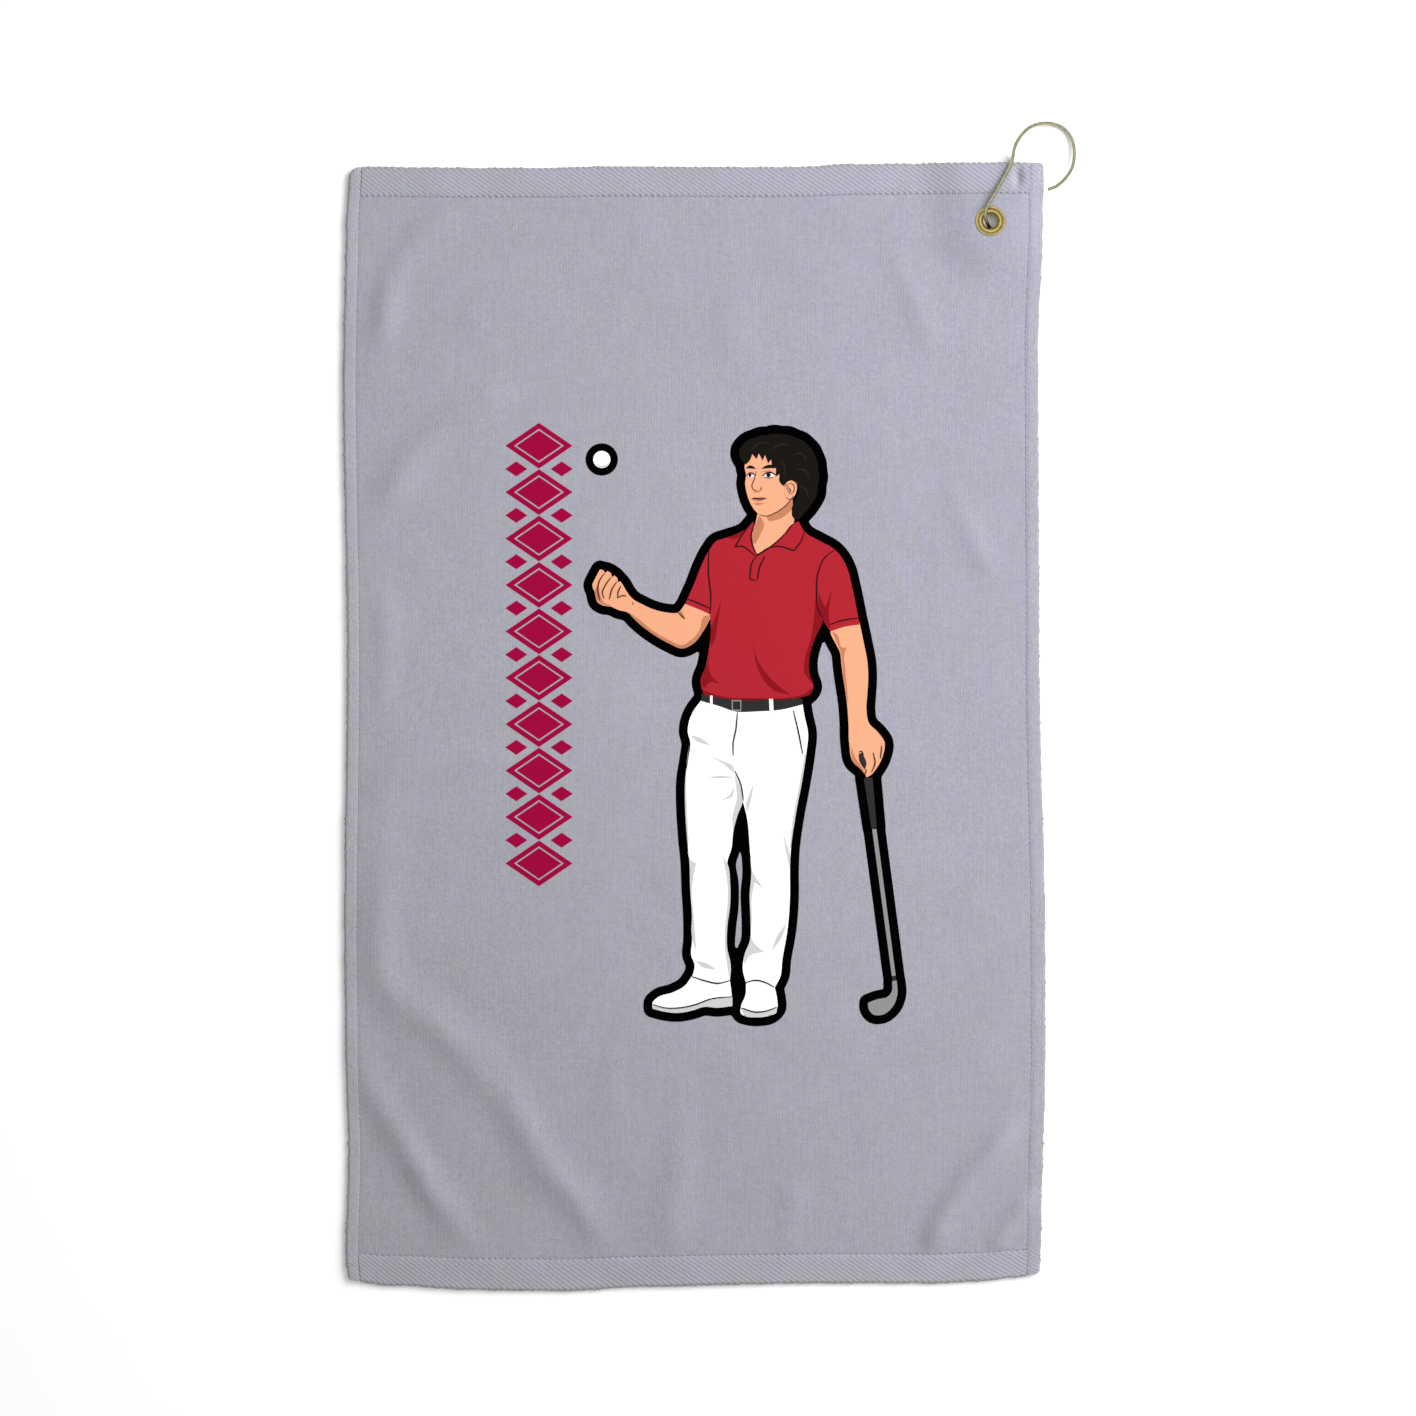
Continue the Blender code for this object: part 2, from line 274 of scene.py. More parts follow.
def laid(x, y, height):
    """Where a point of the flat towel lies, height above the cloth's underside."""
    x, y, height = np.broadcast_arrays(np.asarray(x, float), np.asarray(y, float), height)
    z = drape(x, y) + height
    px = x.copy()
    py = y.copy()
    # The corners are rounded off.
    for (side, end), radius in CORNER_RADIUS.items():
        dx = np.maximum(side * x - HALF_WIDTH + radius, 0.0)
        dy = np.maximum(end * y - HALF_LENGTH + radius, 0.0)
        inside = (dx > 0) & (dy > 0)
        shrink = np.where(inside, np.maximum(dx, dy) / np.maximum(np.hypot(dx, dy), 1e-9), 1.0)
        px += np.where(inside, side * dx * (shrink - 1.0), 0.0)
        py += np.where(inside, end * dy * (shrink - 1.0), 0.0)
    # The edges wander, and so does the cloth near them.
    for stops, end in ((TOP_DRIFT, 1), (BOTTOM_DRIFT, -1)):
        reach = np.clip(1.0 - (HALF_LENGTH - end * y) / DRIFT_REACH, 0.0, 1.0)
        py = py + between(x, stops) * reach**2
    for stops, side in ((RIGHT_DRIFT, 1), (LEFT_DRIFT, -1)):
        reach = np.clip(1.0 - (HALF_WIDTH - side * x) / DRIFT_REACH, 0.0, 1.0)
        px = px + between(y, stops) * reach**2
    return np.stack([px, py, z], axis=-1)


# ---------------------------------------------------------------- materials


class Finish:
    """A Principled material whose colour and bump come from small node patterns."""

    def __init__(self, name, roughness, metallic=0.0, sheen=0.0, specular=0.5):
        self.material = bpy.data.materials.new(name)
        self.material.use_nodes = True
        self.nodes = self.material.node_tree.nodes
        self.links = self.material.node_tree.links
        self.shader = self.nodes["Principled BSDF"]
        self.shader.inputs["Roughness"].default_value = roughness
        self.shader.inputs["Metallic"].default_value = metallic
        self.shader.inputs["Sheen Weight"].default_value = sheen
        self.shader.inputs["Sheen Roughness"].default_value = 0.6
        self.shader.inputs["Specular IOR Level"].default_value = specular
        self.place = self.nodes.new("ShaderNodeTexCoord").outputs["Object"]

    def add(self, kind, inputs, **settings):
        node = self.nodes.new(kind)
        for key, value in settings.items():
            setattr(node, key, value)
        for socket, value in inputs.items():
            if isinstance(value, bpy.types.NodeSocket):
                self.links.new(value, node.inputs[socket])
            else:
                node.inputs[socket].default_value = value
        return node

    def math(self, operation, a, b=0.0, c=0.0):
        return self.add("ShaderNodeMath", {0: a, 1: b, 2: c}, operation=operation).outputs[0]

    def noise(self, stretch, detail=2.0):
        """Noise from about 0.25 to 0.75, with stretch bumps a metre along X, Y and Z."""
        scaled = self.add("ShaderNodeVectorMath", {0: self.place, 1: stretch}, operation="MULTIPLY")
        settings = {"Vector": scaled.outputs[0], "Scale": 1.0, "Detail": detail}
        return self.add("ShaderNodeTexNoise", settings).outputs["Fac"]

    def painted(self, attribute):
        """A value that paint() wrote on the piece's points."""
        return self.add("ShaderNodeAttribute", {}, attribute_name=attribute).outputs["Fac"]

    def along(self, direction):
        """Distance in metres along a direction."""
        return self.add(
            "ShaderNodeVectorMath", {0: self.place, 1: direction}, operation="DOT_PRODUCT"
        ).outputs["Value"]

    def ribs(self, direction, pitch, wobble=0.0, wobble_stretch=(40, 40, 40)):
        """A sine wave from -1 to 1 across a direction, whose phase wanders by wobble."""
        phase = self.math("MULTIPLY", self.along(direction), 2 * math.pi / pitch)
        phase = self.math("MULTIPLY_ADD", self.noise(wobble_stretch, 1.0), wobble, phase)
        return self.math("SINE", phase)

    def total(self, start, *parts):
        """start plus each weight times its pattern."""
        value = start
        for weight, pattern in parts:
            value = self.math("MULTIPLY_ADD", pattern, weight, value)
        return value

    def contrast(self, value, low, high):
        settings = {"Value": value, "From Min": low, "From Max": high}
        return self.add("ShaderNodeMapRange", settings).outputs["Result"]

    def nearness(self, centre, reach):
        """1 at a place on the towel, falling evenly to 0 at reach from it."""
        node = self.add("ShaderNodeVectorMath", {0: self.place, 1: centre}, operation="DISTANCE")
        return self.contrast(node.outputs["Value"], reach, 0.0)

    def blend(self, factor, first, second):
        """A mix of two colours. A factor under 0 or over 1 goes past one of them."""
        node = self.nodes.new("ShaderNodeMix")
        node.data_type = "RGBA"
        node.clamp_factor = False
        self.links.new(factor, node.inputs["Factor"])
        for socket, value in ((node.inputs[6], first), (node.inputs[7], second)):
            if isinstance(value, bpy.types.NodeSocket):
                self.links.new(value, socket)
            else:
                socket.default_value = (*value, 1.0)
        return node.outputs[2]

    def colour(self, tone, brightness):
        settings = {0: tone, "Scale": brightness}
        node = self.add("ShaderNodeVectorMath", settings, operation="SCALE")
        self.links.new(node.outputs[0], self.shader.inputs["Base Color"])

    def roughness(self, value):
        self.links.new(value, self.shader.inputs["Roughness"])

    def bump(self, height, distance, strength=1.0):
        settings = {"Height": height, "Distance": distance, "Strength": strength}
        node = self.add("ShaderNodeBump", settings)
        self.links.new(node.outputs["Normal"], self.shader.inputs["Normal"])


TWILL_ANGLE = math.radians(36)
TWILL_ACROSS = (math.sin(TWILL_ANGLE), math.cos(TWILL_ANGLE))
TWILL_PITCH = 2.15 * MM
RIB_PITCH = 1.65 * MM
CLOTH_COOL = (0.301, 0.295, 0.352)
CLOTH_WARM = (0.298, 0.300, 0.328)
# Painted shade: the darker tone where a hem wraps round its fold
FOLD_SHADE_TONE = (0.240, 0.243, 0.232)


def bluer_and_painted_light(made):
    """How much bluer the cloth gets towards +X and +Y, and painted light: paler in the middle of the
    towel and darker towards its lower left.
    """
    bluer = made.total(-0.1, (1.5, made.along((1, 0, 0))), (0.65, made.along((0, 1, 0))))
    # Painted light: a pool of light in the middle of the towel, and painted shade falling off towards
    # its lower left.
    middle = made.nearness((0.0, 0.02, 0.0), 0.30)
    painted_shade_lower_left = made.nearness((-0.20, -0.33, 0.0), 0.40)
    return bluer, made.total(0.0, (0.065, middle), (-0.085, painted_shade_lower_left))


def pile_pattern(made):
    """Colour, brightness and relief of sheared pile: ribs, streaks, grain, mottling and the painted
    light falloff across the towel.
    """
    bluer, painted_light_falloff = bluer_and_painted_light(made)
    wide = made.noise((75, 60, 60), 3.0)
    narrow = made.noise((260, 220, 220), 2.0)
    mottle = made.contrast(made.total(0.0, (0.5, wide), (0.5, narrow)), 0.40, 0.60)
    tone = made.blend(made.math("ADD", mottle, bluer), CLOTH_WARM, CLOTH_COOL)
    ribs = made.ribs((1, 0, 0), RIB_PITCH, 9.0, (90, 30, 30))
    streaks = made.noise((850, 40, 40), 2.0)
    crossing = made.noise((70, 1100, 70), 2.0)
    grain = made.noise((480, 420, 480), 3.0)
    fibre = made.noise((1300, 1000, 1300), 2.0)
    patches = made.noise((28, 24, 24), 2.0)
    brightness = made.total(
        0.43,
        (0.010, ribs),
        (0.17, streaks),
        (0.11, crossing),
        (0.28, grain),
        (0.48, fibre),
        (0.10, patches),
    )
    # Painted light: the pile is paler in the middle of the towel and darker towards its lower left.
    brightness = made.math("ADD", brightness, painted_light_falloff)
    relief = made.total(0.0, (0.15, ribs), (0.6, streaks), (0.6, grain), (1.2, fibre))
    return tone, brightness, relief


def velour_finish():
    """Sheared pile on the towel's face."""
    made = Finish("velour_pile", 0.95, sheen=0.2, specular=0.15)
    tone, brightness, relief = pile_pattern(made)
    made.colour(tone, brightness)
    made.bump(relief, 0.22 * MM, 0.5)
    return made.material


def selvage_finish():
    """The turned-in sides: the same pile, with painted shade where it wraps round the fold and painted
    shade on its ribs.
    """
    made = Finish("selvage_pile", 0.95, sheen=0.2, specular=0.15)
    tone, brightness, relief = pile_pattern(made)
    # Painted shade: darker where the cloth wraps round the fold.
    tone = made.blend(made.painted("fold"), tone, FOLD_SHADE_TONE)
    # Painted shade on the ribs: lighter on their tops, darker in the valleys.
    made.colour(tone, made.total(0.07, (1.0, brightness), (0.22, made.painted("rib_relief_and_shade"))))
    made.bump(relief, 0.22 * MM, 0.5)
    return made.material


def terry_finish():
    """Uncut loops on the underside, with painted shade in the gaps between them."""
    made = Finish("terry_loops", 0.95, sheen=0.2, specular=0.2)
    cells = made.add("ShaderNodeTexVoronoi", {"Vector": made.place, "Scale": 620.0})
    loops = cells.outputs["Distance"]
    fibre = made.noise((1500, 1500, 1500), 2.0)
    tone = made.blend(made.noise((50, 50, 50), 2.0), CLOTH_WARM, CLOTH_COOL)
    # Painted shade: the colour darkens in the gaps between loops, where the bump sinks.
    made.colour(tone, made.total(0.98, (-0.25, loops), (0.25, fibre)))
    made.bump(made.total(0.0, (-1.0, loops), (0.3, fibre)), 0.6 * MM, 0.8)
    return made.material


def twill_finish():
    """Flat-woven hem: diagonal ribs with painted shade, lighter on their tops and darker in the
    valleys, with fine picks across them.
    """
    made = Finish("twill_weave", 0.92, sheen=0.15, specular=0.2)
    along = (TWILL_ACROSS[1], -TWILL_ACROSS[0], 0.0)
    # Painted shade: the rib height makes the rib tops lighter and the valleys darker.
    ribs = made.painted("rib_relief_and_shade")
    picks = made.ribs(along, 0.9 * MM, 9.0, (260, 260, 260))
    fibre = made.noise((1400, 1400, 1400), 2.0)
    patches = made.noise((60, 60, 60), 2.0)
    bluer, painted_light_falloff = bluer_and_painted_light(made)
    mottle = made.contrast(patches, 0.35, 0.65)
    tone = made.blend(made.math("ADD", mottle, bluer), CLOTH_WARM, CLOTH_COOL)
    # Painted shade: darker where the hem wraps round its fold.
    tone = made.blend(made.painted("fold"), tone, FOLD_SHADE_TONE)
    # The brightness also carries the painted light falloff across the towel.
    brightness = made.total(
        0.84, (0.22, ribs), (0.03, picks), (0.36, fibre), (0.10, patches), (1.0, painted_light_falloff)
    )
    made.colour(tone, brightness)
    made.bump(made.total(0.0, (0.4, picks), (0.9, fibre)), 0.2 * MM, 0.6)
    return made.material


def thread_finish():
    """Spun sewing thread: fine twisted plies."""
    made = Finish("spun_thread", 0.8, sheen=0.1, specular=0.3)
    plies = made.ribs((0.7, 0.7, 0.2), 0.45 * MM, 3.0, (400, 400, 400))
    fibre = made.noise((2500, 2500, 2500), 2.0)
    made.colour((0.285, 0.282, 0.338), made.total(0.80, (0.10, plies), (0.4, fibre)))
    made.bump(made.total(0.0, (0.5, plies), (0.5, fibre)), 0.08 * MM)
    return made.material


def ink_finish(name, colour):
    """Ink in the pile: the cloth's ribs and fibres show through it."""
    made = Finish(name, 1.0, specular=0.0)
    ribs = made.ribs((1, 0, 0), RIB_PITCH, 9.0, (90, 30, 30))
    fibre = made.noise((1300, 1000, 1300), 2.0)
    made.colour(colour, made.total(0.97, (0.008, ribs), (0.06, fibre)))
    made.bump(made.total(0.0, (0.2, ribs), (0.8, fibre)), 0.08 * MM, 0.35)
    return made.material


def metal_finish(name, bright, dull, gloss):
    """Brass with a thin uneven tarnish and a fine grain."""
    made = Finish(name, gloss, metallic=1.0)
    stain = made.contrast(made.noise((420, 420, 420), 3.0), 0.40, 0.68)
    grain = made.noise((2600, 2600, 5200), 2.0)
    made.colour(made.blend(stain, bright, dull), made.total(0.96, (0.08, grain)))
    made.roughness(made.total(gloss - 0.06, (0.10, grain), (0.08, stain)))
    made.bump(grain, 0.015 * MM, 0.5)
    return made.material


# ---------------------------------------------------------------- meshes


def add_piece(name, points, faces, finish, slot, body="towel", stands_for=()):
    mesh = bpy.data.meshes.new(name)
    mesh.from_pydata(np.asarray(points).tolist(), [], faces)
    mesh.shade_smooth()
    mesh.materials.append(finish)
    obj = bpy.data.objects.new(name, mesh)
    bpy.context.scene.collection.objects.link(obj)
    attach(obj, body)
    if stands_for:
        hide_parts(*stands_for)
    return obj


def faces_outward(points, quads):
    """Whether the closed skin that the quads make has its outside out."""
    a, b, c, d = (points[quads[:, i]] for i in range(4))
    volume = np.einsum("ij,ij->", a, np.cross(b, c)) + np.einsum("ij,ij->", a, np.cross(c, d))
    return volume > 0


def loft_faces(count, around, ring_closed):
    """Quads between rings of points. The first and last ring join if ring_closed."""
    index = np.arange(count * around).reshape(count, around)
    if ring_closed:
        index = np.vstack([index, index[:1]])
    first = index[:-1]
    second = index[1:]
    quads = [first, second, np.roll(second, -1, axis=1), np.roll(first, -1, axis=1)]
    return np.stack(quads, axis=-1).reshape(-1, 4)


def loft(name, rings, finish, slot, ring_closed=False, **options):
    """A closed skin through rings of points, shaped (rings, points, 3)."""
    count, around = rings.shape[:2]
    points = rings.reshape(-1, 3)
    quads = loft_faces(count, around, ring_closed)
    caps = []
    if not ring_closed:
        last = (count - 1) * around
        caps = [list(range(around)), list(reversed(range(last, last + around)))]
    if not faces_outward(points, quads):
        quads = quads[:, ::-1]
        caps = [cap[::-1] for cap in caps]
    return add_piece(name, points, [*quads.tolist(), *caps], finish, slot, **options)


def solid_from_sheet(top, bottom, faces):
    """Points and faces of the closed body between a sheet's top and bottom."""
    edges = {}
    for face in faces:
        for a, b in zip(face, face[1:] + face[:1]):
            edges[(a, b)] = (b, a) not in edges
            if (b, a) in edges:
                edges[(b, a)] = False
    count = len(top)
    walls = [(b, a, a + count, b + count) for (a, b), free in edges.items() if free]
    underside = [[i + count for i in reversed(face)] for face in faces]
    return np.concatenate([top, bottom]), [*faces, *underside, *walls]


def tube_rings(path, radii, sides):
    """Rings of points round a path, without twist."""
    path = np.asarray(path)
    along = np.gradient(path, axis=0)
    along /= np.linalg.norm(along, axis=1)[:, None]
    turns = 2 * np.pi * np.arange(sides) / sides
    side = np.cross(along[0], (0.0, 0.0, 1.0))
    if np.linalg.norm(side) < 0.1:
        side = np.cross(along[0], (0.0, 1.0, 0.0))
    rings = []
    for place, heading, radius in zip(path, along, radii):
        side = side - heading * (side @ heading)
        side /= np.linalg.norm(side)
        other = np.cross(heading, side)
        circle = np.cos(turns)[:, None] * side + np.sin(turns)[:, None] * other
        rings.append(place + radius * circle)
    return np.array(rings)


# ---------------------------------------------------------------- the cloth panel


PANEL_STEP = 2.45 * MM
# Cells of the mesh whose middle is nearer to the grommet's axis than this are cut out
HOLE_REACH = 5.4 * MM


def border_lines(half, step):
    """Mesh lines from -half to half, closer together at both ends."""
    inner = half - 2 * MM
    count = round(2 * inner / step)
    middle = np.linspace(-inner, inner, count + 1)
    edge = half - np.array([0.0, 0.35, 0.9]) * MM
    return np.concatenate([-edge, middle, edge[::-1]])


def make_panel():
    half_x = SIDE_SEAM - SEAM_EDGE
    half_y = END_SEAM - SEAM_EDGE
    x_lines = border_lines(half_x, PANEL_STEP)
    y_lines = border_lines(half_y, PANEL_STEP)
    x, y = np.meshgrid(x_lines, y_lines, indexing="ij")
    inside = np.minimum(half_x - np.abs(x), half_y - np.abs(y))
    pile = PANEL_THICKNESS - 0.12 * MM * np.exp(-inside / (0.4 * MM))
    pile = pile + 0.12 * MM * (lattice_noise(x, y, 5 * MM, 5) - 0.5)
    top = laid(x, y, pile)
    bottom = laid(x, y, 0.35 * MM * np.exp(-inside / (0.6 * MM)))

    # The cloth swells a little in a ring round the flange that clamps it.
    reach = np.hypot(top[..., 0] - GROMMET.x, top[..., 1] - GROMMET.y)
    top[..., 2] += 0.25 * MM * np.exp(-(((reach - 10 * MM) / (2.2 * MM)) ** 2))
    index = np.arange(x.size).reshape(x.shape)
    quads = np.stack([index[:-1, :-1], index[1:, :-1], index[1:, 1:], index[:-1, 1:]], axis=-1)
    quads = quads.reshape(-1, 4)
    top = top.reshape(-1, 3)
    bottom = bottom.reshape(-1, 3)

    # The hole for the grommet: drop the cells inside it and pull its rim to a circle.
    middle = top[quads].mean(axis=1)
    hole = np.hypot(middle[:, 0] - GROMMET.x, middle[:, 1] - GROMMET.y) < HOLE_REACH
    rim = np.intersect1d(quads[hole], quads[~hole])
    radius = BARREL_RADIUS + FIT_GAP
    axis = np.array([GROMMET.x, GROMMET.y])
    for sheet in (top, bottom):
        out = sheet[rim, :2] - axis
        out *= (radius / np.linalg.norm(out, axis=1))[:, None]
        sheet[rim, :2] = out + axis
    quads = quads[~hole]
    used, quads = np.unique(quads, return_inverse=True)
    quads = quads.reshape(-1, 4)
    points, faces = solid_from_sheet(top[used], bottom[used], quads.tolist())
    panel = add_piece(
        "velour_panel", points, faces, velour_finish(), "velour", stands_for=["terry_panel"]
    )
    panel.data.materials.append(terry_finish())
    slots = np.zeros(len(faces), np.int32)
    slots[len(quads) : 2 * len(quads)] = 1
    panel.data.polygons.foreach_set("material_index", slots)
    panel.data.set_sharp_from_angle(angle=math.radians(60))
    return panel


# ---------------------------------------------------------------- hems

END_STITCH = 3.5 * MM
SIDE_STITCH = 3.2 * MM
TWILL_HEIGHT = 0.46 * MM
END_STEP = 0.55 * MM
SIDE_STEP = 0.75 * MM
SECTION_STEP = 0.5 * MM
# Where a hem's top starts to round down into the seam
SHOULDER = 0.7 * MM
STITCH_STEPS = 8
THREAD_SIDES = 8

# Height of a thread in mm in its needle holes and halfway between them, by thread and by
# whether the seam runs along X
STITCH_HEIGHTS = {
    ("needle", True): (1.6, 2.35),
    ("needle", False): (1.95, 2.35),
    ("bobbin", True): (1.0, 0.34),
    ("bobbin", False): (1.0, 0.34),
}


def hem_section(depth):
    """Section of a turned-over hem, as arrays of distance in from the fold, height and
    outward direction: top from the seam to the fold, round it, and back underneath."""
    radius = HEM_THICKNESS / 2
    top = np.arange(depth - SHOULDER, radius, -SECTION_STEP)
    turn = np.linspace(math.pi / 2, 3 * math.pi / 2, 11)
    under = np.linspace(radius + 1 * MM, depth - 0.6 * MM, max(3, round(depth / (1.6 * MM))))
    across = [
        np.array([depth, depth - 0.02 * MM, depth - 0.35 * MM]),
        top,
        radius + radius * np.cos(turn),
        under,
        np.array([depth - 0.1 * MM, depth]),
    ]
    height = [
        np.array([1.2 * MM, HEM_THICKNESS - 0.42 * MM, HEM_THICKNESS - 0.34 * MM]),
        HEM_THICKNESS - 0.3 * MM * np.exp(-(depth - SHOULDER - top) / (1.2 * MM)),
        radius + radius * np.sin(turn),
        np.zeros(len(under)),
        np.array([0.15 * MM, 0.6 * MM]),
    ]
    across = np.concatenate(across)
    height = np.concatenate(height)
    run_a = np.roll(across, -1) - np.roll(across, 1)
    run_h = np.roll(height, -1) - np.roll(height, 1)
    size = np.hypot(run_a, run_h)
    return across, height, run_h / size, -run_a / size


def twill_relief(x, y):
    """Diagonal ribs from about -0.5 to 0.5, rounded on top with narrow valleys."""
    wander = 0.5 * (lattice_noise(x, y, 14 * MM, 6) - 0.5)
    phase = (x * TWILL_ACROSS[0] + y * TWILL_ACROSS[1]) / TWILL_PITCH
    return np.abs(np.sin(math.pi * phase)) ** 0.7 - 0.62 + 0.25 * wander


def pucker(place, pitch):
    """1 at each needle hole and 0 halfway between two of them."""
    return 0.5 + 0.5 * np.cos(2 * math.pi * place / pitch)


def paint(obj, attribute, values):
    """Writes a value on each point, for the piece's material to read."""
    layer = obj.data.attributes.new(attribute, "FLOAT", "POINT")
    layer.data.foreach_set("value", values.astype(np.float32).ravel())


def on_towel(station, reach, along_x):
    """X and Y of places at a station along an edge and a reach across the towel."""
    station, reach = np.broadcast_arrays(station, reach)
    return (station, reach) if along_x else (reach, station)


def make_hem(side, kind, depth, stations, edge, inward, pitch, finish):
    """One hem, swept along X at an end of the towel or along Y at a side."""
    along_x = kind == "twill"
    across, height, out_a, out_h = hem_section(depth)
    station = stations[:, None]
    across = across[None, :]

    # The pile and some loose fibres stand off the fold.
    fold = np.clip(1.0 - across / (1.7 * MM), 0.0, 1.0)
    fuzz = 0.5 * lattice_noise(station, across, 0.9 * MM, 7) + lattice_noise(station, 0.0, 4 * MM, 8)
    loose = np.clip(lattice_noise(station, 0.0, 1.6 * MM, 12) - 0.72, 0.0, 1.0) * 2.6 * MM

    # Ribs of the weave: a side hem has them only where it meets the end hems.
    x, y = on_towel(station, edge + inward * across, along_x)
    relief = TWILL_HEIGHT * twill_relief(x, y)
    nap = 0.16 * MM * (lattice_noise(x, y, 0.9 * MM, 9) - 0.5)
    rib_relief_and_shade = relief
    if not along_x:
        at_end = eased((np.abs(y) - HALF_LENGTH + END_HEM_DEPTH + 2 * MM) / (3 * MM))
        cross_ribs = 0.07 * MM * np.sin(2 * math.pi * station / (1.5 * MM))
        rib_relief_and_shade = at_end * 0.8 * relief + (1.0 - at_end) * cross_ribs
    top_side = out_h[None, :] > -0.3
    push = (rib_relief_and_shade + nap) * np.where(top_side, 1.0, 0.5) * np.where(height < 0.3 * MM, 0.35, 1.0)

    # The stitches pull the top down beside the seam.
    seam = np.exp(-(depth - across) / (0.9 * MM)) * pucker(station, pitch) ** 2
    sunk = 0.5 * MM if along_x else 0.25 * MM
    body = across + out_a * push - fold * (fuzz * 0.45 * MM + loose)
    tall = height + out_h * push - np.where(height > 1 * MM, sunk * seam, 0.0)
    tall = np.maximum(tall, 0.02 * MM)
    x, y = on_towel(station, edge + inward * np.minimum(body, depth), along_x)
    rings = laid(x, y, tall)

    name = f"{side}_hem_{kind}"
    hem = loft(name, rings, finish, "twill_hem", stands_for=[f"{side}_hem"])
    hem.data.set_sharp_from_angle(angle=math.radians(65))
    # Painted shade for the fold: strongest at the fold, uneven with the fuzz.
    fold_shade = np.clip(1.15 - across / (1.5 * MM), 0.0, 1.0) * (0.55 + 0.45 * fuzz)
    paint(hem, "fold", fold_shade + 0 * station)
    # The ribs' height also goes on the points for the finishes' painted shade: lighter rib tops, darker
    # valleys.
    paint(hem, "rib_relief_and_shade", rib_relief_and_shade / TWILL_HEIGHT)
    return hem


def make_hems():
    twill = twill_finish()
    selvage = selvage_finish()
    hems = []
    end_depth = END_HEM_DEPTH + SEAM_GAP / 2 - SEAM_EDGE
    side_depth = SIDE_HEM_DEPTH + SEAM_GAP / 2 - SEAM_EDGE
    end_half = SIDE_SEAM - SEAM_EDGE
    ends = np.linspace(-end_half, end_half, round(2 * end_half / END_STEP) + 1)
    sides = np.linspace(-HALF_LENGTH, HALF_LENGTH, round(2 * HALF_LENGTH / SIDE_STEP) + 1)
    for side, end in (("top", 1), ("bottom", -1)):
        edge = end * HALF_LENGTH
        hems.append(make_hem(side, "twill", end_depth, ends, edge, -end, END_STITCH, twill))
    for side, end in (("right", 1), ("left", -1)):
        edge = end * HALF_WIDTH
        hems.append(make_hem(side, "edge", side_depth, sides, edge, -end, SIDE_STITCH, selvage))
    return hems


def make_thread(edge, thread, half, seam, along_x, pitch, low, high, finish):
    """A row of lock stitches: the thread arches over the cloth from hole to hole."""
    count = round(2 * half / (pitch / STITCH_STEPS))
    station = np.linspace(-half, half, count + 1)
    arch = np.abs(np.sin(math.pi * station / pitch)) ** 0.6
    height = low + (high - low) * arch
    wander = seam + 0.12 * MM * (lattice_noise(station, 0.0, 7 * MM, 11) - 0.5)
    path = laid(station, wander, height) if along_x else laid(wander, station, height)
    radii = THREAD_RADIUS * (0.86 + 0.14 * arch)
    rings = tube_rings(path, radii, THREAD_SIDES)
    name = f"{edge}_{thread}_stitches"
    return loft(name, rings, finish, "thread", stands_for=[f"{edge}_hem_{thread}_thread"])


def make_stitching():
    finish = thread_finish()
    threads = []
    end_half = HALF_WIDTH - SIDE_HEM_DEPTH - SEAM_GAP - 2 * THREAD_RADIUS
    side_half = HALF_LENGTH - HEM_THICKNESS
    rows = (("top", end_half, END_SEAM, True), ("bottom", end_half, -END_SEAM, True))
    rows += (("right", side_half, SIDE_SEAM, False), ("left", side_half, -SIDE_SEAM, False))
    for thread in ("needle", "bobbin"):
        for edge, half, seam, along_x in rows:
            pitch = END_STITCH if along_x else SIDE_STITCH
            low, high = STITCH_HEIGHTS[thread, along_x]
            path = (half, seam, along_x, pitch, low * MM, high * MM)
            threads.append(make_thread(edge, thread, *path, finish))
    return threads


# ---------------------------------------------------------------- grommet and hook

# Sections as (radius, height) in mm: heights are from the flange's underside
FLANGE_SKIN = [
    (8.45, -0.02), (8.62, 0.10), (8.65, 0.28), (8.52, 0.44), (8.28, 0.46), (8.02, 0.36),
    (7.78, 0.30), (7.52, 0.40), (7.15, 0.68), (6.75, 0.92), (6.30, 1.08), (5.85, 1.14),
    (5.40, 1.07), (5.02, 0.86), (4.74, 0.52), (4.50, 0.02), (4.32, -0.6), (4.16, -1.4),
    (4.05, -2.2),
]
FLANGE_HOLLOW = [
    (4.5, -2.6), (4.5, -1.6), (4.62, -0.75), (4.8, -0.1), (5.05, 0.35), (5.45, 0.64), (5.9, 0.72),
    (6.4, 0.62), (6.9, 0.38), (7.3, 0.12), (7.75, -0.02), (8.15, -0.06),
]
TURN_STEPS = 96


def turned_piece(name, section, finish, node):
    """A closed outline (radius, height) in metres, turned about the grommet's axis."""
    section = np.array(section)
    turns = 2 * np.pi * np.arange(TURN_STEPS) / TURN_STEPS
    x = GROMMET.x + np.cos(turns)[:, None] * section[:, 0]
    y = GROMMET.y + np.sin(turns)[:, None] * section[:, 0]
    z = section[:, 1] + 0 * x
    rings = np.stack([x, y, z], axis=-1)
    return loft(name, rings, finish, "brass", ring_closed=True, stands_for=[node])


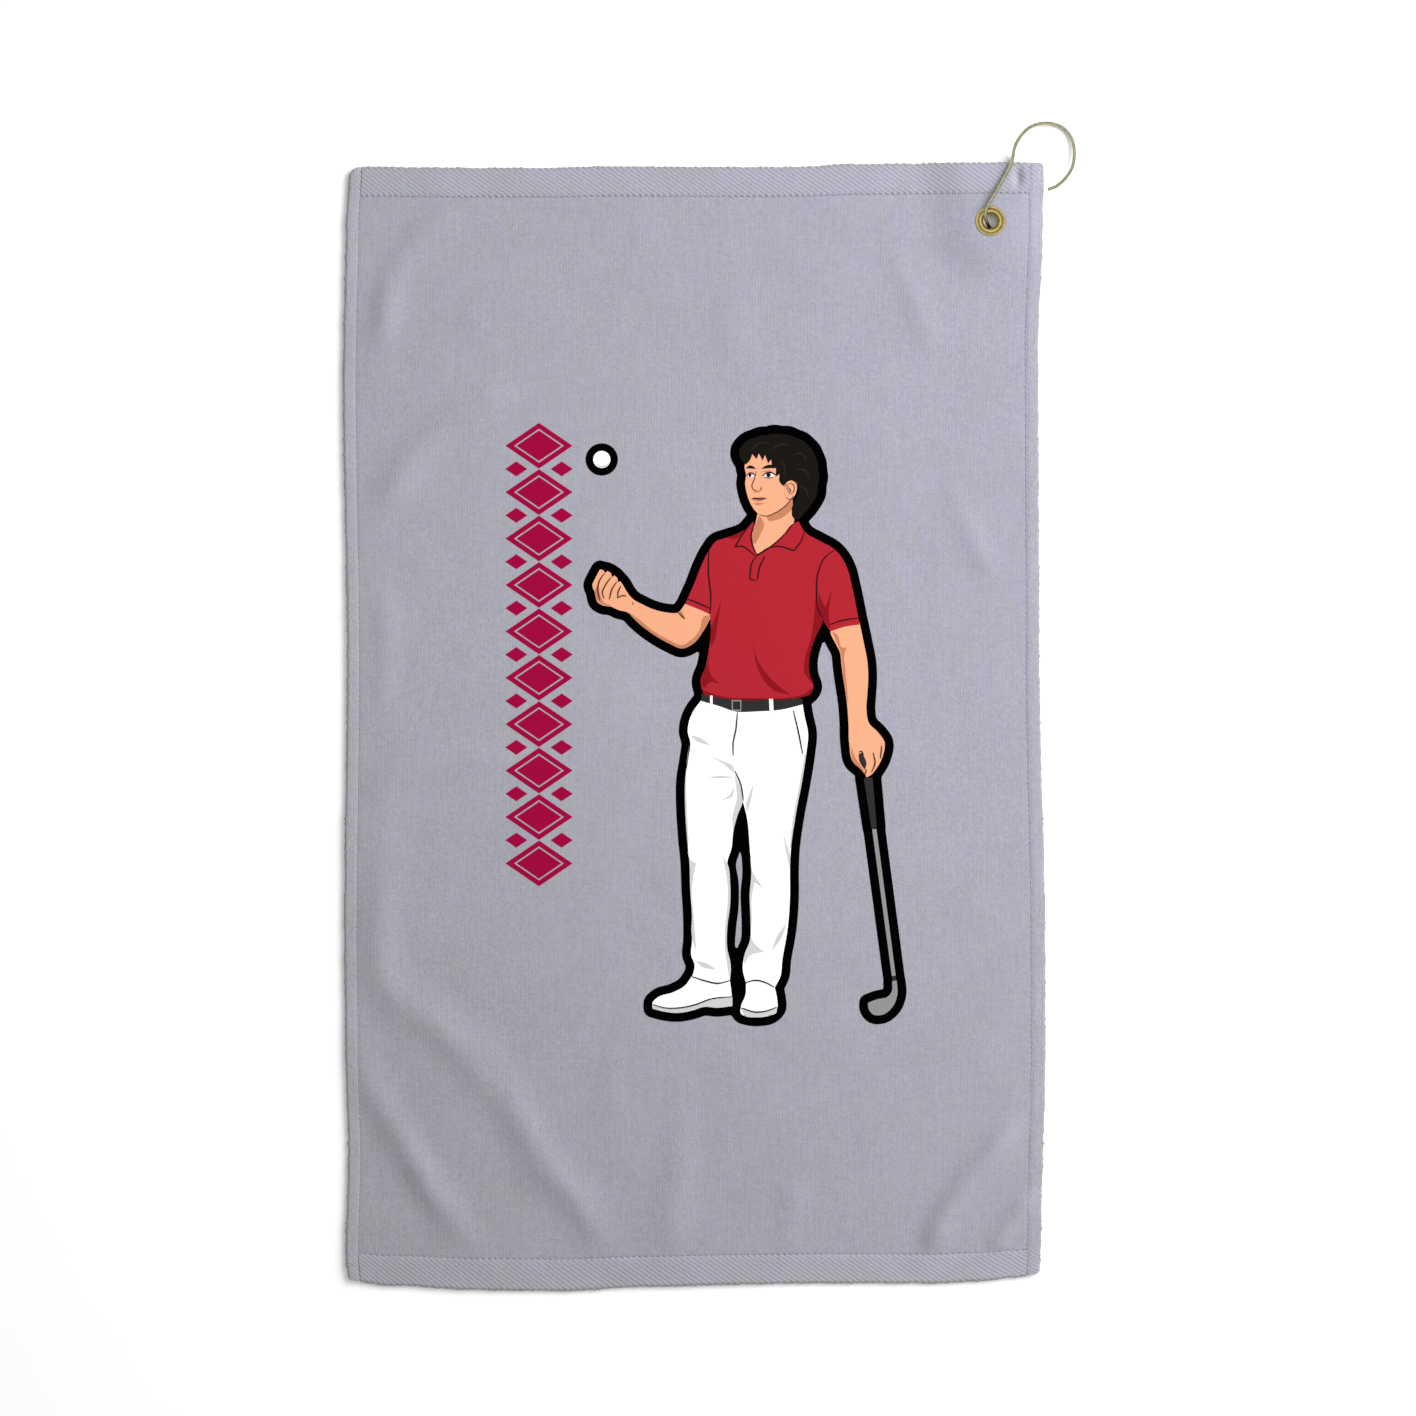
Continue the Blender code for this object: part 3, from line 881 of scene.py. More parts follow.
def make_grommet():
    finish = metal_finish("polished_brass", (0.66, 0.525, 0.185), (0.50, 0.39, 0.12), 0.25)
    bore = 4.0 * MM
    lip = BARREL_RADIUS + 1.3 * MM
    skin = [(r * MM, FLANGE_BOTTOM + h * MM) for r, h in FLANGE_SKIN]
    hollow = [(r * MM, FLANGE_BOTTOM + h * MM) for r, h in FLANGE_HOLLOW]
    rolled = [
        (bore, LIP_BOTTOM + 0.55 * MM),
        (bore + 0.1 * MM, LIP_BOTTOM + 0.22 * MM),
        (bore + 0.35 * MM, LIP_BOTTOM + 0.04 * MM),
        (bore + 0.7 * MM, LIP_BOTTOM),
        (lip - 0.4 * MM, LIP_BOTTOM),
        (lip - 0.1 * MM, LIP_BOTTOM + 0.08 * MM),
        (lip, LIP_BOTTOM + METAL / 2),
        (lip - 0.1 * MM, LIP_BOTTOM + 0.34 * MM),
        (lip - 0.4 * MM, LIP_BOTTOM + METAL),
        (BARREL_RADIUS + 0.15 * MM, LIP_BOTTOM + METAL + 0.03 * MM),
        (BARREL_RADIUS, LIP_BOTTOM + METAL + 0.2 * MM),
    ]
    turned_piece("grommet_flange", [*skin, *rolled, *hollow], finish, "grommet_eyelet")

    inner = BARREL_RADIUS + FIT_GAP
    rim = (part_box("grommet_washer")[1].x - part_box("grommet_washer")[0].x) / 2
    top = WASHER_BOTTOM + METAL
    washer = [
        (inner + 0.1 * MM, WASHER_BOTTOM),
        (rim - 1.0 * MM, WASHER_BOTTOM),
        (rim - 0.35 * MM, WASHER_BOTTOM + 0.04 * MM),
        (rim - 0.08 * MM, WASHER_BOTTOM + 0.14 * MM),
        (rim, WASHER_BOTTOM + 0.28 * MM),
        (rim - 0.06 * MM, top),
        (inner + 0.05 * MM, top),
        (inner, top - 0.05 * MM),
        (inner, WASHER_BOTTOM + 0.1 * MM),
    ]
    turned_piece("grommet_neck_washer", washer, finish, "grommet_washer")


WIRE_RADIUS = 1.05 * MM
WIRE_SIDES = 18
WIRE_STEP = 0.7 * MM

# The ring leans down this steeply towards this bearing, from a distance and height in mm
RING_SLOPE = 0.19
RING_BEARING = math.radians(39)
RING_FOOT = (34.2, 7.9)

# Distance from the end in mm, and the share of the wire's radius there
DEBURRED_END = ((0.0, 0.55), (0.06, 0.78), (0.18, 0.93), (0.4, 1.0))

# The wire's route in mm from the grommet's axis, as part.py bends it
RING = [
    (33.3, 18.1), (38.0, 20.0), (43.8, 25.1), (47.5, 31.0), (49.0, 39.0), (48.4, 45.5),
    (46.1, 50.9), (42.0, 54.9), (37.4, 56.8), (32.5, 57.3), (27.8, 56.7), (23.1, 54.7),
    (19.0, 51.1), (16.0, 47.0), (13.9, 42.2), (12.9, 37.0),
]
KINK_AND_FRONT_LEG = [
    (12.2, 33.5, 8.0), (11.3, 31.8, 8.05), (8.2, 25.9, 8.2), (4.4, 19.2, 8.35), (0.8, 12.9, 8.5),
    (-1.1, 9.7, 8.6), (-2.3, 7.3, 8.65), (-3.0, 5.1, 8.65),
]
BEND_THROUGH_BORE = [
    (-3.3, 3.2, 8.4), (-3.05, 1.6, 7.75), (-2.55, 0.3, 6.5), (-1.8, -1.0, 4.7), (-1.0, -2.2, 2.8),
    (-0.1, -3.25, 1.45), (0.9, -4.2, 1.1),
]
BACK_LEG_AND_CLOSING_END = [
    (2.6, -4.6, 1.1), (4.3, -3.8, 1.1), (5.6, -1.7, 1.1), (6.3, 1.2, 1.1), (7.0, 5.0, 1.1),
    (9.6, 19.0, 1.1), (12.0, 31.5, 1.1), (12.7, 35.2, 1.15), (13.0, 36.8, 1.45),
    (13.15, 37.9, 2.3), (13.2, 38.3, 3.4), (13.2, 38.2, 4.5),
]


def ring_points():
    """The bag ring, from its open tip to just above the kink, leaning down."""
    lean = (math.sin(RING_BEARING), math.cos(RING_BEARING))
    start, height = RING_FOOT
    return [(x, y, height - RING_SLOPE * (x * lean[0] + y * lean[1] - start)) for x, y in RING]


def make_hook():
    by_hand = ring_points() + KINK_AND_FRONT_LEG + BEND_THROUGH_BORE + BACK_LEG_AND_CLOSING_END
    axis = Vector((GROMMET.x, GROMMET.y, 0.0))
    route = smooth_route([axis + Vector(point) * MM for point in by_hand], WIRE_STEP)
    path = np.array([tuple(point) for point in route])
    radii = np.full(len(path), WIRE_RADIUS)
    # Both ends are cut and deburred, so they round off over the last half millimetre.
    for _ in range(2):
        inward = path[1] - path[0]
        inward /= np.linalg.norm(inward)
        steps = [path[0] + inward * distance * MM for distance, _ in DEBURRED_END]
        sizes = [WIRE_RADIUS * share for _, share in DEBURRED_END]
        path = np.concatenate([steps, path[1:]])[::-1]
        radii = np.concatenate([sizes, radii[1:]])[::-1]
    rings = tube_rings(path, radii, WIRE_SIDES)
    finish = metal_finish("brass_plated_wire", (0.57, 0.545, 0.37), (0.42, 0.40, 0.25), 0.18)
    loft("bag_ring_hook", rings, finish, "hook_wire", body="hook", stands_for=["wire_hook"])


# ---------------------------------------------------------------- the print

PRINT_GRID = 5 * MM
INK_DEPTH = 0.3 * MM
CURVE_STEP = 1.5 * MM
SMALLEST_TRIANGLE = 1e-11


def raise_ink(name, points, faces, level, finish):
    """Turns a flat pattern into a thin closed solid that follows the cloth's pile.

    Its top stands level, in mm, over the pile, higher than that of any layer it covers.
    """
    x = np.array([point[0] for point in points])
    y = np.array([point[1] for point in points])
    top = laid(x, y, PANEL_THICKNESS + level * MM)
    bottom = laid(x, y, PANEL_THICKNESS - INK_DEPTH)
    solid, faces = solid_from_sheet(top, bottom, faces)
    ink = add_piece(name, solid, faces, finish, "print_ink")
    ink.data.set_sharp_from_angle(angle=math.radians(40))
    return ink


def cut_on_grid(bm):
    """Cuts flat faces along a grid, so that they can follow the cloth."""
    lows = [min(vert.co[axis] for vert in bm.verts) for axis in (0, 1)]
    highs = [max(vert.co[axis] for vert in bm.verts) for axis in (0, 1)]
    for axis in (0, 1):
        normal = (1, 0, 0) if axis == 0 else (0, 1, 0)
        first = math.ceil(lows[axis] / PRINT_GRID)
        last = math.floor(highs[axis] / PRINT_GRID)
        for line in range(first, last + 1):
            place = [0.0, 0.0, 0.0]
            place[axis] = line * PRINT_GRID
            parts = [*bm.verts, *bm.edges, *bm.faces]
            bmesh.ops.bisect_plane(bm, geom=parts, plane_co=place, plane_no=normal, dist=1e-7)


def print_shapes(name, shapes, level, finish):
    """Prints filled outlines. Each shape is an outline in metres and then its holes."""
    bm = bmesh.new()
    for shape in shapes:
        loops = [[Vector((p[0], p[1], 0.0)) for p in loop] for loop in shape]
        verts = [bm.verts.new(p) for loop in loops for p in loop]
        for triangle in geometry.tessellate_polygon(loops):
            corners = [verts[i] for i in triangle]
            if geometry.area_tri(*(corner.co for corner in corners)) > SMALLEST_TRIANGLE:
                bm.faces.new(corners)
    bmesh.ops.delete(bm, geom=[v for v in bm.verts if not v.link_faces], context="VERTS")
    cut_on_grid(bm)
    for face in bm.faces:
        face.normal_update()
    turned = [face for face in bm.faces if face.normal.z < 0]
    bmesh.ops.reverse_faces(bm, faces=turned)
    bm.verts.index_update()
    points = [tuple(vert.co) for vert in bm.verts]
    faces = [[vert.index for vert in face.verts] for face in bm.faces]
    bm.free()
    return raise_ink(name, points, faces, level, finish)


def print_strokes(name, strokes, level, finish):
    """Prints pen lines, each given as points and a width in mm, tapered at both ends."""
    points = []
    faces = []
    for line, width in strokes:
        route = smooth_route(straight(line), 1.2 * MM)
        last = len(route) - 1
        for i, place in enumerate(route):
            ahead = route[min(i + 1, last)] - route[max(i - 1, 0)]
            side = Vector((-ahead.y, ahead.x)).normalized()
            taper = 0.35 + 0.65 * math.sin(math.pi * i / last) ** 0.5
            reach = side * width * MM / 2 * taper
            points += [place - reach, place + reach]
            if i:
                n = len(points)
                faces.append([n - 4, n - 2, n - 1, n - 3])
    return raise_ink(name, points, faces, level, finish)


def straight(points):
    """Points in mm as vectors in metres."""
    return [Vector(point) * MM for point in points]


def outline(points):
    """A closed smooth outline from points in mm. A point given twice is a corner."""
    return smooth_route(straight(points), CURVE_STEP, closed=True)


def outlines(shapes):
    """Smooth outlines without holes, for print_shapes."""
    return [[outline(points)] for points in shapes]


def ellipse(centre, across, up, steps=28):
    """An upright ellipse, from its centre and half-axes in mm."""
    angles = [2 * math.pi * i / steps for i in range(steps)]
    return straight(
        [(centre[0] + across * math.cos(a), centre[1] + up * math.sin(a)) for a in angles]
    )


def distance_field(x, y, shapes, margin):
    """Below 0 at the places that are inside a shape or within margin of one."""
    nearest = np.full(x.shape, FAR)
    covered = np.zeros(x.shape, bool)
    for shape in shapes:
        crossings = np.zeros(x.shape, bool)
        for start, end in zip(shape, np.roll(shape, -1, axis=0)):
            nearest = np.minimum(nearest, beside_run(x, y, start, end)[0])
            run = end - start
            if run[1] != 0:
                level = (y - start[1]) / run[1]
                crossings ^= (level >= 0) & (level < 1) & (x < start[0] + level * run[0])
        covered |= crossings
    return np.where(covered, -margin, nearest - margin)


def cells_below_zero(xs, ys, field):
    """Points and faces of a grid's cells, clipped to where the field is below 0."""
    points = []
    known = {}

    def corner(i, j):
        if (i, j) not in known:
            known[(i, j)] = len(points)
            points.append((xs[i], ys[j]))
        return known[(i, j)]

    def crossing(a, b):
        key = (min(a, b), max(a, b))
        if key not in known:
            known[key] = len(points)
            share = field[key[0]] / (field[key[0]] - field[key[1]])
            (i, j), (k, m) = key
            points.append((xs[i] + share * (xs[k] - xs[i]), ys[j] + share * (ys[m] - ys[j])))
        return known[key]

    faces = []
    inside = field < 0
    touched = inside[:-1, :-1] | inside[1:, :-1] | inside[1:, 1:] | inside[:-1, 1:]
    for i, j in np.argwhere(touched).tolist():
        around = [(i, j), (i + 1, j), (i + 1, j + 1), (i, j + 1)]
        face = []
        for a, b in zip(around, around[1:] + around[:1]):
            if inside[a]:
                face.append(corner(*a))
            if inside[a] != inside[b]:
                face.append(crossing(a, b))
        if len(face) > 2:
            faces.append(face)
    return points, faces


def border_round(shapes, margin, step):
    """Points and faces of the area that the shapes and a border round them cover."""
    shapes = [np.array([tuple(p)[:2] for p in shape]) for shape in shapes]
    low = np.min([shape.min(axis=0) for shape in shapes], axis=0) - margin - 2 * step
    high = np.max([shape.max(axis=0) for shape in shapes], axis=0) + margin + 2 * step
    xs = np.arange(low[0], high[0], step)
    ys = np.arange(low[1], high[1], step)
    x, y = np.meshgrid(xs, ys, indexing="ij")
    return cells_below_zero(xs, ys, distance_field(x, y, shapes, margin))


# Golfer, in mm of the flat towel
HEAD = (50, 145)
SHIRT = [
    (35, 118.5), (30, 113), (19.5, 109), (13, 106.5), (10, 102.5), (5, 93), (0.5, 81.5),
    (-4.5, 70.5), (-4.5, 70.5), (2, 68), (10, 64.5), (10, 64.5), (10.5, 55.5), (9.5, 45),
    (7.5, 34.5), (4.5, 25), (6, 18.5), (6, 18.5), (14, 16), (24.5, 14.2), (37, 14), (51.5, 14.5),
    (62, 16), (68, 18), (70, 21.5), (68, 29), (67.5, 37), (69.5, 46.5), (72.5, 54.5), (75.5, 61.5),
    (75.5, 61.5), (80, 54.5), (80, 54.5), (87.5, 57), (97, 58.5), (97, 58.5), (95, 69), (92.5, 81),
    (89.5, 92), (85.5, 99), (82, 102.5), (74, 107), (65, 112.5), (61.5, 118.5), (61.5, 118.5),
    (58, 117), (51.5, 109), (44, 103), (37.5, 98.5), (37.5, 98.5), (35, 104), (34, 109),
    (35.5, 115),
]
SHIRT_FOLDS = [
    [(16.5, 72.5), (14.5, 59.5), (13, 50.5), (10.5, 45), (10.5, 55.5), (14, 65)],
    [
        (10.5, 43), (9, 34.5), (11, 28.5), (15.5, 24), (10, 25), (7, 21.5), (5, 23.5), (5.5, 27.5),
        (8, 35.5),
    ],
    [(35, 48.5), (37, 39.5), (42, 31), (49, 23.5), (57, 17.5), (47.5, 20), (41, 26.5), (37, 35.5)],
    [
        (72, 82.5), (72.5, 69), (75.5, 61.5), (71.5, 51.5), (68.5, 42.5), (67.5, 34.5), (69, 24.5),
        (65, 30.5), (65.5, 39.5), (69, 51.5), (70.5, 62.5),
    ],
    [(73, 77), (73.5, 67.5), (76, 61.5), (80, 55.5), (79, 63.5), (81, 79), (77, 68)],
    [
        (5.5, 20.5), (16.5, 16.7), (37, 15.6), (57, 16.2), (65, 18.2), (69.5, 22), (69, 18.5),
        (62, 16.2), (37, 14.2), (16.5, 15.4), (6, 18.6),
    ],
    [(31, 112.5), (25, 108.5), (19.5, 108.8), (25, 111), (30, 113.5)],
]
SHIRT_LINES = [
    [(35, 118.5), (30, 112.5), (24.5, 103.5), (24.5, 103.5), (29, 104), (31.5, 102.5), (36.5, 98)],
    [(37.5, 98.5), (44, 103), (49, 104), (59, 101.5), (59, 101.5), (63, 107), (65, 112.5)],
    [(35.5, 116.5), (34, 110), (35, 104), (37.5, 98.5)],
    [(37.5, 98.5), (45, 103.5), (52, 109.5), (58.5, 117)],
    [(37.5, 98.5), (35, 95.5), (33, 85), (33, 85), (37, 84)],
    [(42, 98.5), (39, 92), (37.5, 84.5)],
    [(9.5, 103), (9, 90.5), (10.5, 73), (10, 64.5)],
    [(82.5, 102), (76.5, 97), (73, 89), (72, 77), (73, 67.5), (76, 61.5)],
    [(-3.5, 73.5), (3.5, 70.8), (10, 67.8)],
    [(79.5, 58.5), (88.5, 61.2), (96.5, 62.2)],
]
LEFT_ARM = [
    (-4.5, 70.5), (-4.5, 70.5), (-8.5, 65.5), (-15.5, 65.5), (-23.5, 67.5), (-30, 70.5),
    (-34.5, 73), (-37, 75.5), (-39, 78.5), (-41, 82), (-42.3, 83.7), (-43.6, 83), (-44, 85.5),
    (-45.5, 87), (-47.2, 86), (-47.8, 88.6), (-49.8, 89.6), (-51, 88.3), (-52, 90), (-54, 90.6),
    (-57, 85), (-58.5, 81.5), (-57, 77), (-55.5, 71.5), (-52, 69.5), (-48, 69), (-43.5, 67),
    (-38, 65.5), (-33, 60.5), (-23.5, 53), (-14, 47.5), (-6, 44.5), (0.5, 47.5), (6, 54.5),
    (11, 64), (11, 64), (2, 69),
]
RIGHT_ARM = [
    (80, 55.5), (80, 54.5), (83, 47.5), (85.5, 42.5), (86.5, 34.5), (88, 23.5), (89.5, 14),
    (90.5, 2), (91, -11), (93.5, -22), (97, -25), (99.5, -27), (101, -30.5), (103, -29.5),
    (107, -25), (110.5, -18), (111.5, -10), (107.5, -4), (102.5, 1), (101, 9), (101.5, 18),
    (102, 27), (101.5, 37), (99.5, 47.5), (97, 59.5), (97, 59.5), (87.5, 58),
]
NECK = [
    (38.5, 125), (36.5, 118), (34.6, 112), (33.6, 106.5), (36.5, 99), (44, 103.3), (52, 109.5),
    (58.5, 117), (57.5, 128), (55.5, 133), (46, 131),
]
SKIN_SHADE = [
    [
        (-38, 66), (-33, 60.5), (-23.5, 53), (-14, 47.5), (-6, 44.5), (0.5, 47.5), (6, 54.5),
        (10.5, 64), (7, 63.5), (3.5, 54.5), (-1.5, 49), (-6.5, 46.5), (-14, 49.5), (-23.5, 55),
        (-32, 62),
    ],
    [(-6.5, 66.5), (-8.5, 65), (-4.5, 61.5), (-5.5, 64.5)],
    [(-55, 82), (-57, 78), (-55.2, 72), (-52, 70), (-47, 69.3), (-52, 71.5), (-54, 76)],
    [
        (81, 54.5), (83.5, 48.5), (86, 42.5), (87, 34.5), (88, 23.5), (90.5, 11.5), (89.5, 23.5),
        (88.5, 34.5), (88, 40.5), (89.5, 45), (87, 45), (84, 52.5),
    ],
    [(92, -12), (93.5, -22), (97.5, -25.5), (101, -30), (98, -24), (95, -20)],
    [
        (42.3, 121.7), (44.6, 118.4), (51.5, 120.4), (57.8, 126.5), (58, 132.2), (53.8, 127.3),
        (47.8, 123.2),
    ],
    [(38.8, 122), (41.5, 116.5), (39.3, 111), (36.6, 105.5), (34.2, 106), (35, 112), (36.8, 118)],
]
HAND_LINES = [
    [(-51.3, 88.4), (-54, 84.5), (-55.3, 79), (-54, 72.5)],
    [(-47.6, 86), (-51, 81), (-52.6, 77), (-51.5, 73.5)],
    [(-44.2, 83.4), (-47, 79), (-48.5, 73)],
    [(-41.8, 81), (-43.4, 77.5), (-43.6, 73.5)],
    [(-38.5, 75), (-41.3, 75.3), (-43.3, 74)],
    [(-35, 71.5), (-34.5, 70)],
    [(110, -12), (109.2, -19.5)],
    [(105, -16), (106, -22.5), (104, -27.5)],
    [(101, -25.5), (100.3, -29)],
    [(96.5, -15.8), (98.2, -15.2), (99.5, -17.5)],
    [(-8.5, 65.5), (-4.5, 61.7)],
]
HAIR = [
    (30.8, 151.5), (28.4, 154), (27, 157), (27.2, 160.4), (29, 163.2), (31.8, 165.6), (35.6, 167),
    (39, 168.4), (43, 168.6), (47, 169.6), (51.5, 169), (56, 168.8), (60, 167), (63.8, 165.6),
    (67, 162.8), (69.6, 160), (71.2, 156.4), (72.6, 153), (73, 148.6), (73.6, 144.4),
    (72.7, 139.5), (72.2, 134), (69.8, 129.6), (67.2, 125.8), (64, 122.4), (61, 119.4),
    (58.5, 120.5), (57.5, 126.5), (57.5, 126.5), (60.5, 132), (61.5, 138), (60, 141.5), (56, 142),
    (52.5, 139), (52.5, 139), (50.4, 141.5), (50.4, 146), (48.2, 144.5), (48.4, 150), (46.2, 149),
    (45.6, 154.5), (43.8, 152.2), (42, 157.2), (40.6, 153.8), (38.4, 158), (37, 154.8),
    (34.6, 157.6), (33.2, 154),
]
HAIR_LINES = [
    [(34, 160), (38, 163.5), (44, 164.5)],
    [(46, 160), (50, 163), (56, 163)],
    [(58, 157), (63, 158), (66.5, 154)],
    [(60, 149), (65, 148), (67.5, 143)],
    [(62, 139), (66, 137), (67, 132)],
    [(51, 154), (53.5, 150), (53, 145)],
]

# A plain face turned three quarters to the left, in mm from the middle of the head: the
# eyes halfway down it, the nose halfway from brow to chin and the mouth a third below.
FACE = [
    (-17.5, 14), (-19.3, 9), (-19.9, 4.5), (-19, 0.8), (-19.6, -4), (-18.9, -9), (-17.2, -14.5),
    (-14.6, -19.3), (-11.2, -22.6), (-7.2, -23.4), (-2.2, -21.6), (3.8, -17.6), (7.6, -13),
    (9.8, -8), (12, 2), (4, 14),
]
FACE_SHADE = [
    [(-13.8, -8), (-11.6, -8.6), (-10.2, -7.2), (-11.2, -9.6), (-14.4, -9.6)],
    [(-14.6, -16), (-11.8, -17), (-8.6, -16), (-11.6, -15.7)],
    [(-10.4, 2.2), (-7, 3.2), (-3.2, 2.6), (-7, 2.4)],
    [(3.9, -3.9), (4.6, -8.4), (6.6, -11.2), (6, -6.6)],
]
LIPS = [
    (-16, -13.4), (-14.4, -12.4), (-12.6, -12.6), (-10.8, -12.2), (-7.4, -13.1), (-10.4, -14.7),
    (-13.6, -14.8),
]
EAR = [
    (3, -6.5), (4.3, -3.6), (7.3, -2.4), (10.4, -4.4), (10.5, -9), (8.6, -12.6), (6, -14),
    (4.2, -12.4), (3.2, -9.6),
]
BROWS = [
    [(-10.2, 4), (-7.2, 6.1), (-3, 6.3), (1.2, 4.1), (-3, 4.5), (-7, 4.3)],
    [(-19.1, 4.3), (-17.3, 6), (-14.8, 5.5), (-13.3, 4.1), (-15.1, 4.1), (-17.3, 4.3)],
]
EYE_WHITES = [
    [(-9, 0), (-6.9, 1.5), (-4.2, 1.5), (-2, 0.1), (-4.4, -0.8), (-7, -0.9)],
    [(-18.2, 0), (-17, 1.3), (-15.4, 1.3), (-14.2, 0.1), (-15.6, -0.8), (-17, -0.8)],
]
# Place of each iris, and its half-axes
IRISES = [((-6.0, 0.35), (1.3, 1.25)), ((-16.7, 0.35), (0.85, 1.1))]
LID_LINES = [
    [(-9.6, -0.3), (-7, 1.7), (-4.2, 1.8), (-1.3, -0.1)],
    [(-18.7, -0.1), (-17.1, 1.5), (-15.3, 1.5), (-13.7, 0)],
    [(-16, -13.5), (-13.4, -13.2), (-11.4, -13.5), (-7.2, -13.1)],
]
FACE_LINES = [
    [(-8.4, -0.9), (-5.6, -1.3), (-3, -0.8)],
    [(-13, 2.6), (-14.2, -2), (-15.6, -6.4), (-14.9, -8), (-12.8, -8.7)],
    [(-10.3, -6.2), (-10, -7.8), (-11.2, -8.5)],
    [(5, -5.2), (7.4, -4.2), (8.9, -6), (8.4, -9.4), (6.8, -11)],
    [(6.2, -7), (7, -8.8), (6, -10.4)],
    [
        (3.2, -6.5), (4.4, -3.7), (7.3, -2.5), (10.3, -4.4), (10.5, -9), (8.6, -12.6), (6, -13.9),
        (4.3, -12.4),
    ],
    [(-11.2, -22.6), (-7.2, -23.4), (-2.2, -21.6), (3.8, -17.6), (7, -13.8), (8.4, -11.6)],
]

TROUSERS = [
    (5, 14.5), (5, 14.5), (0.5, 8.5), (-2.5, 1), (-3, -4), (-1.5, -10), (-2.5, -19), (-4.5, -32.5),
    (-4.5, -48.5), (-3.5, -64.5), (-2, -80.5), (-1.5, -94), (-0.5, -112.5), (-0.5, -126),
    (-1, -134), (1, -139.5), (-0.5, -147), (-0.5, -147), (6, -149), (15.5, -151), (21.5, -149),
    (21.5, -149), (22, -139.5), (19.5, -130), (20, -118), (21.5, -104.5), (21.5, -92.5), (20, -80),
    (22.5, -71.5), (23.5, -62), (26, -52.5), (29, -44), (29, -44), (31.5, -54), (33, -70),
    (34, -86), (33, -99.5), (33.5, -112.5), (33, -126), (30, -134), (29, -141.5), (31, -150.5),
    (31, -150.5), (37, -149), (42, -150.5), (47.5, -153), (47.5, -153), (51, -146), (52, -137),
    (55, -119.5), (56.5, -99.5), (56.5, -83.5), (57, -72.5), (59.5, -54), (63.5, -32.5),
    (66, -16.5), (67, -4.5), (65, 5), (63.5, 14), (63.5, 14),
]
TROUSER_FOLDS = [
    [(-1.5, -6), (3.5, -7), (10.5, -12), (2.5, -9.5)],
    [(10, -18), (17.5, -21), (23.5, -24), (24, -28), (17.5, -22.5)],
    [(8, -30.5), (16.5, -29.5), (24.5, -30.5), (16.5, -31)],
    [(16.5, -44), (21.5, -40.5), (24, -35.5), (23, -41.5)],
    [(24.2, -28), (29, -44.5), (26, -52.5), (23.5, -61.5), (23, -54), (25.5, -43)],
    [
        (-2, -10.5), (-3.5, -22), (-3.8, -35), (-3.4, -48.5), (-2.5, -64.5), (-0.8, -79),
        (2, -80.5), (0.4, -88), (-0.9, -99.5), (-2, -80.5), (-3.5, -64.5), (-4.5, -48.5),
        (-4.5, -32.5), (-3, -19),
    ],
    [(-1, -94), (0.2, -107.5), (2, -131.5), (-0.5, -123.5), (-0.5, -110)],
    [(1.5, -137), (7.5, -138.5), (14, -142.5), (5, -140.5)],
    [
        (17.5, -76.5), (20, -80.5), (21.7, -92.5), (21.7, -104.5), (20, -118), (20, -130),
        (22, -139.5), (21.3, -148), (19.8, -138), (18.7, -129), (18.7, -118), (20.2, -104.5),
        (20.2, -92.5),
    ],
    [(31, -46), (33, -40), (35.5, -33.5), (34, -43), (31.7, -51)],
    [
        (33, -72.5), (35, -86), (37.5, -90), (41.5, -95.5), (36, -91.5), (34.4, -99.5),
        (34.4, -112.5), (35, -126), (41.5, -132), (33.5, -134), (30, -139.5), (30, -134),
        (33, -126), (33.5, -112.5), (33, -99.5), (34, -86),
    ],
    [(52, -58), (53.5, -66), (56.5, -75.5), (56.5, -83.5), (54, -72.5)],
    [
        (65, -17), (66, -17), (63.5, -33), (59.3, -54.5), (57, -71.5), (56.2, -71.5),
        (58.2, -54.5), (62.3, -33),
    ],
    [(54.5, -115), (52, -123), (46, -131.5), (48.5, -124)],
]
TROUSER_LINES = [
    [(26, 7.5), (25, -3), (23.5, -10.5), (23.5, -18)],
    [(58.5, 8.5), (61, -2), (64, -17)],
    [(24.5, -26.5), (28, -35), (29.5, -44)],
    [(-0.5, -146.3), (6, -148.5), (15.5, -150.2), (22, -148.5)],
    [(30.5, -149.8), (37, -148.5), (42, -149.7), (47.5, -152.5)],
    [(-23.5, -162.5), (-16.5, -164.5), (-7.5, -164.5), (2, -162.5), (10, -159.5), (23, -158)],
    [(28, -164.5), (37, -167), (44, -166), (49, -164)],
]
BELT = [
    (5, 18.5), (5, 18.5), (16.5, 16), (37, 15), (63.5, 15.5), (63.5, 15.5), (64, 12), (64, 12),
    (51.5, 9), (38, 8), (24.5, 8), (15.5, 11), (5, 14), (5, 14),
]
BELT_LOOPS = [
    [(10, 17.2), (11.5, 17), (11.5, 10.8), (10, 11.3)],
    [(44.3, 15.2), (46.6, 15.2), (47, 7.2), (44.7, 7.2)],
]
BUCKLE = [
    [(22.6, 14.6), (28.2, 14.5), (28.2, 8.3), (22.6, 8.3)],
    [(23.3, 13.9), (27.6, 13.8), (27.6, 9), (23.3, 9)],
]
LEFT_SHOE = [
    (-0.5, -146), (-0.5, -146), (-4.5, -151.5), (-11.5, -155.5), (-20.5, -158.5), (-23.5, -161.5),
    (-23.5, -165), (-18, -166.5), (-8.5, -167.5), (0, -166), (6.5, -164), (14, -164.5),
    (23, -163.5), (23, -163.5), (22.5, -156), (21.5, -148.5), (21.5, -148.5), (15.5, -150),
    (6, -148.5),
]
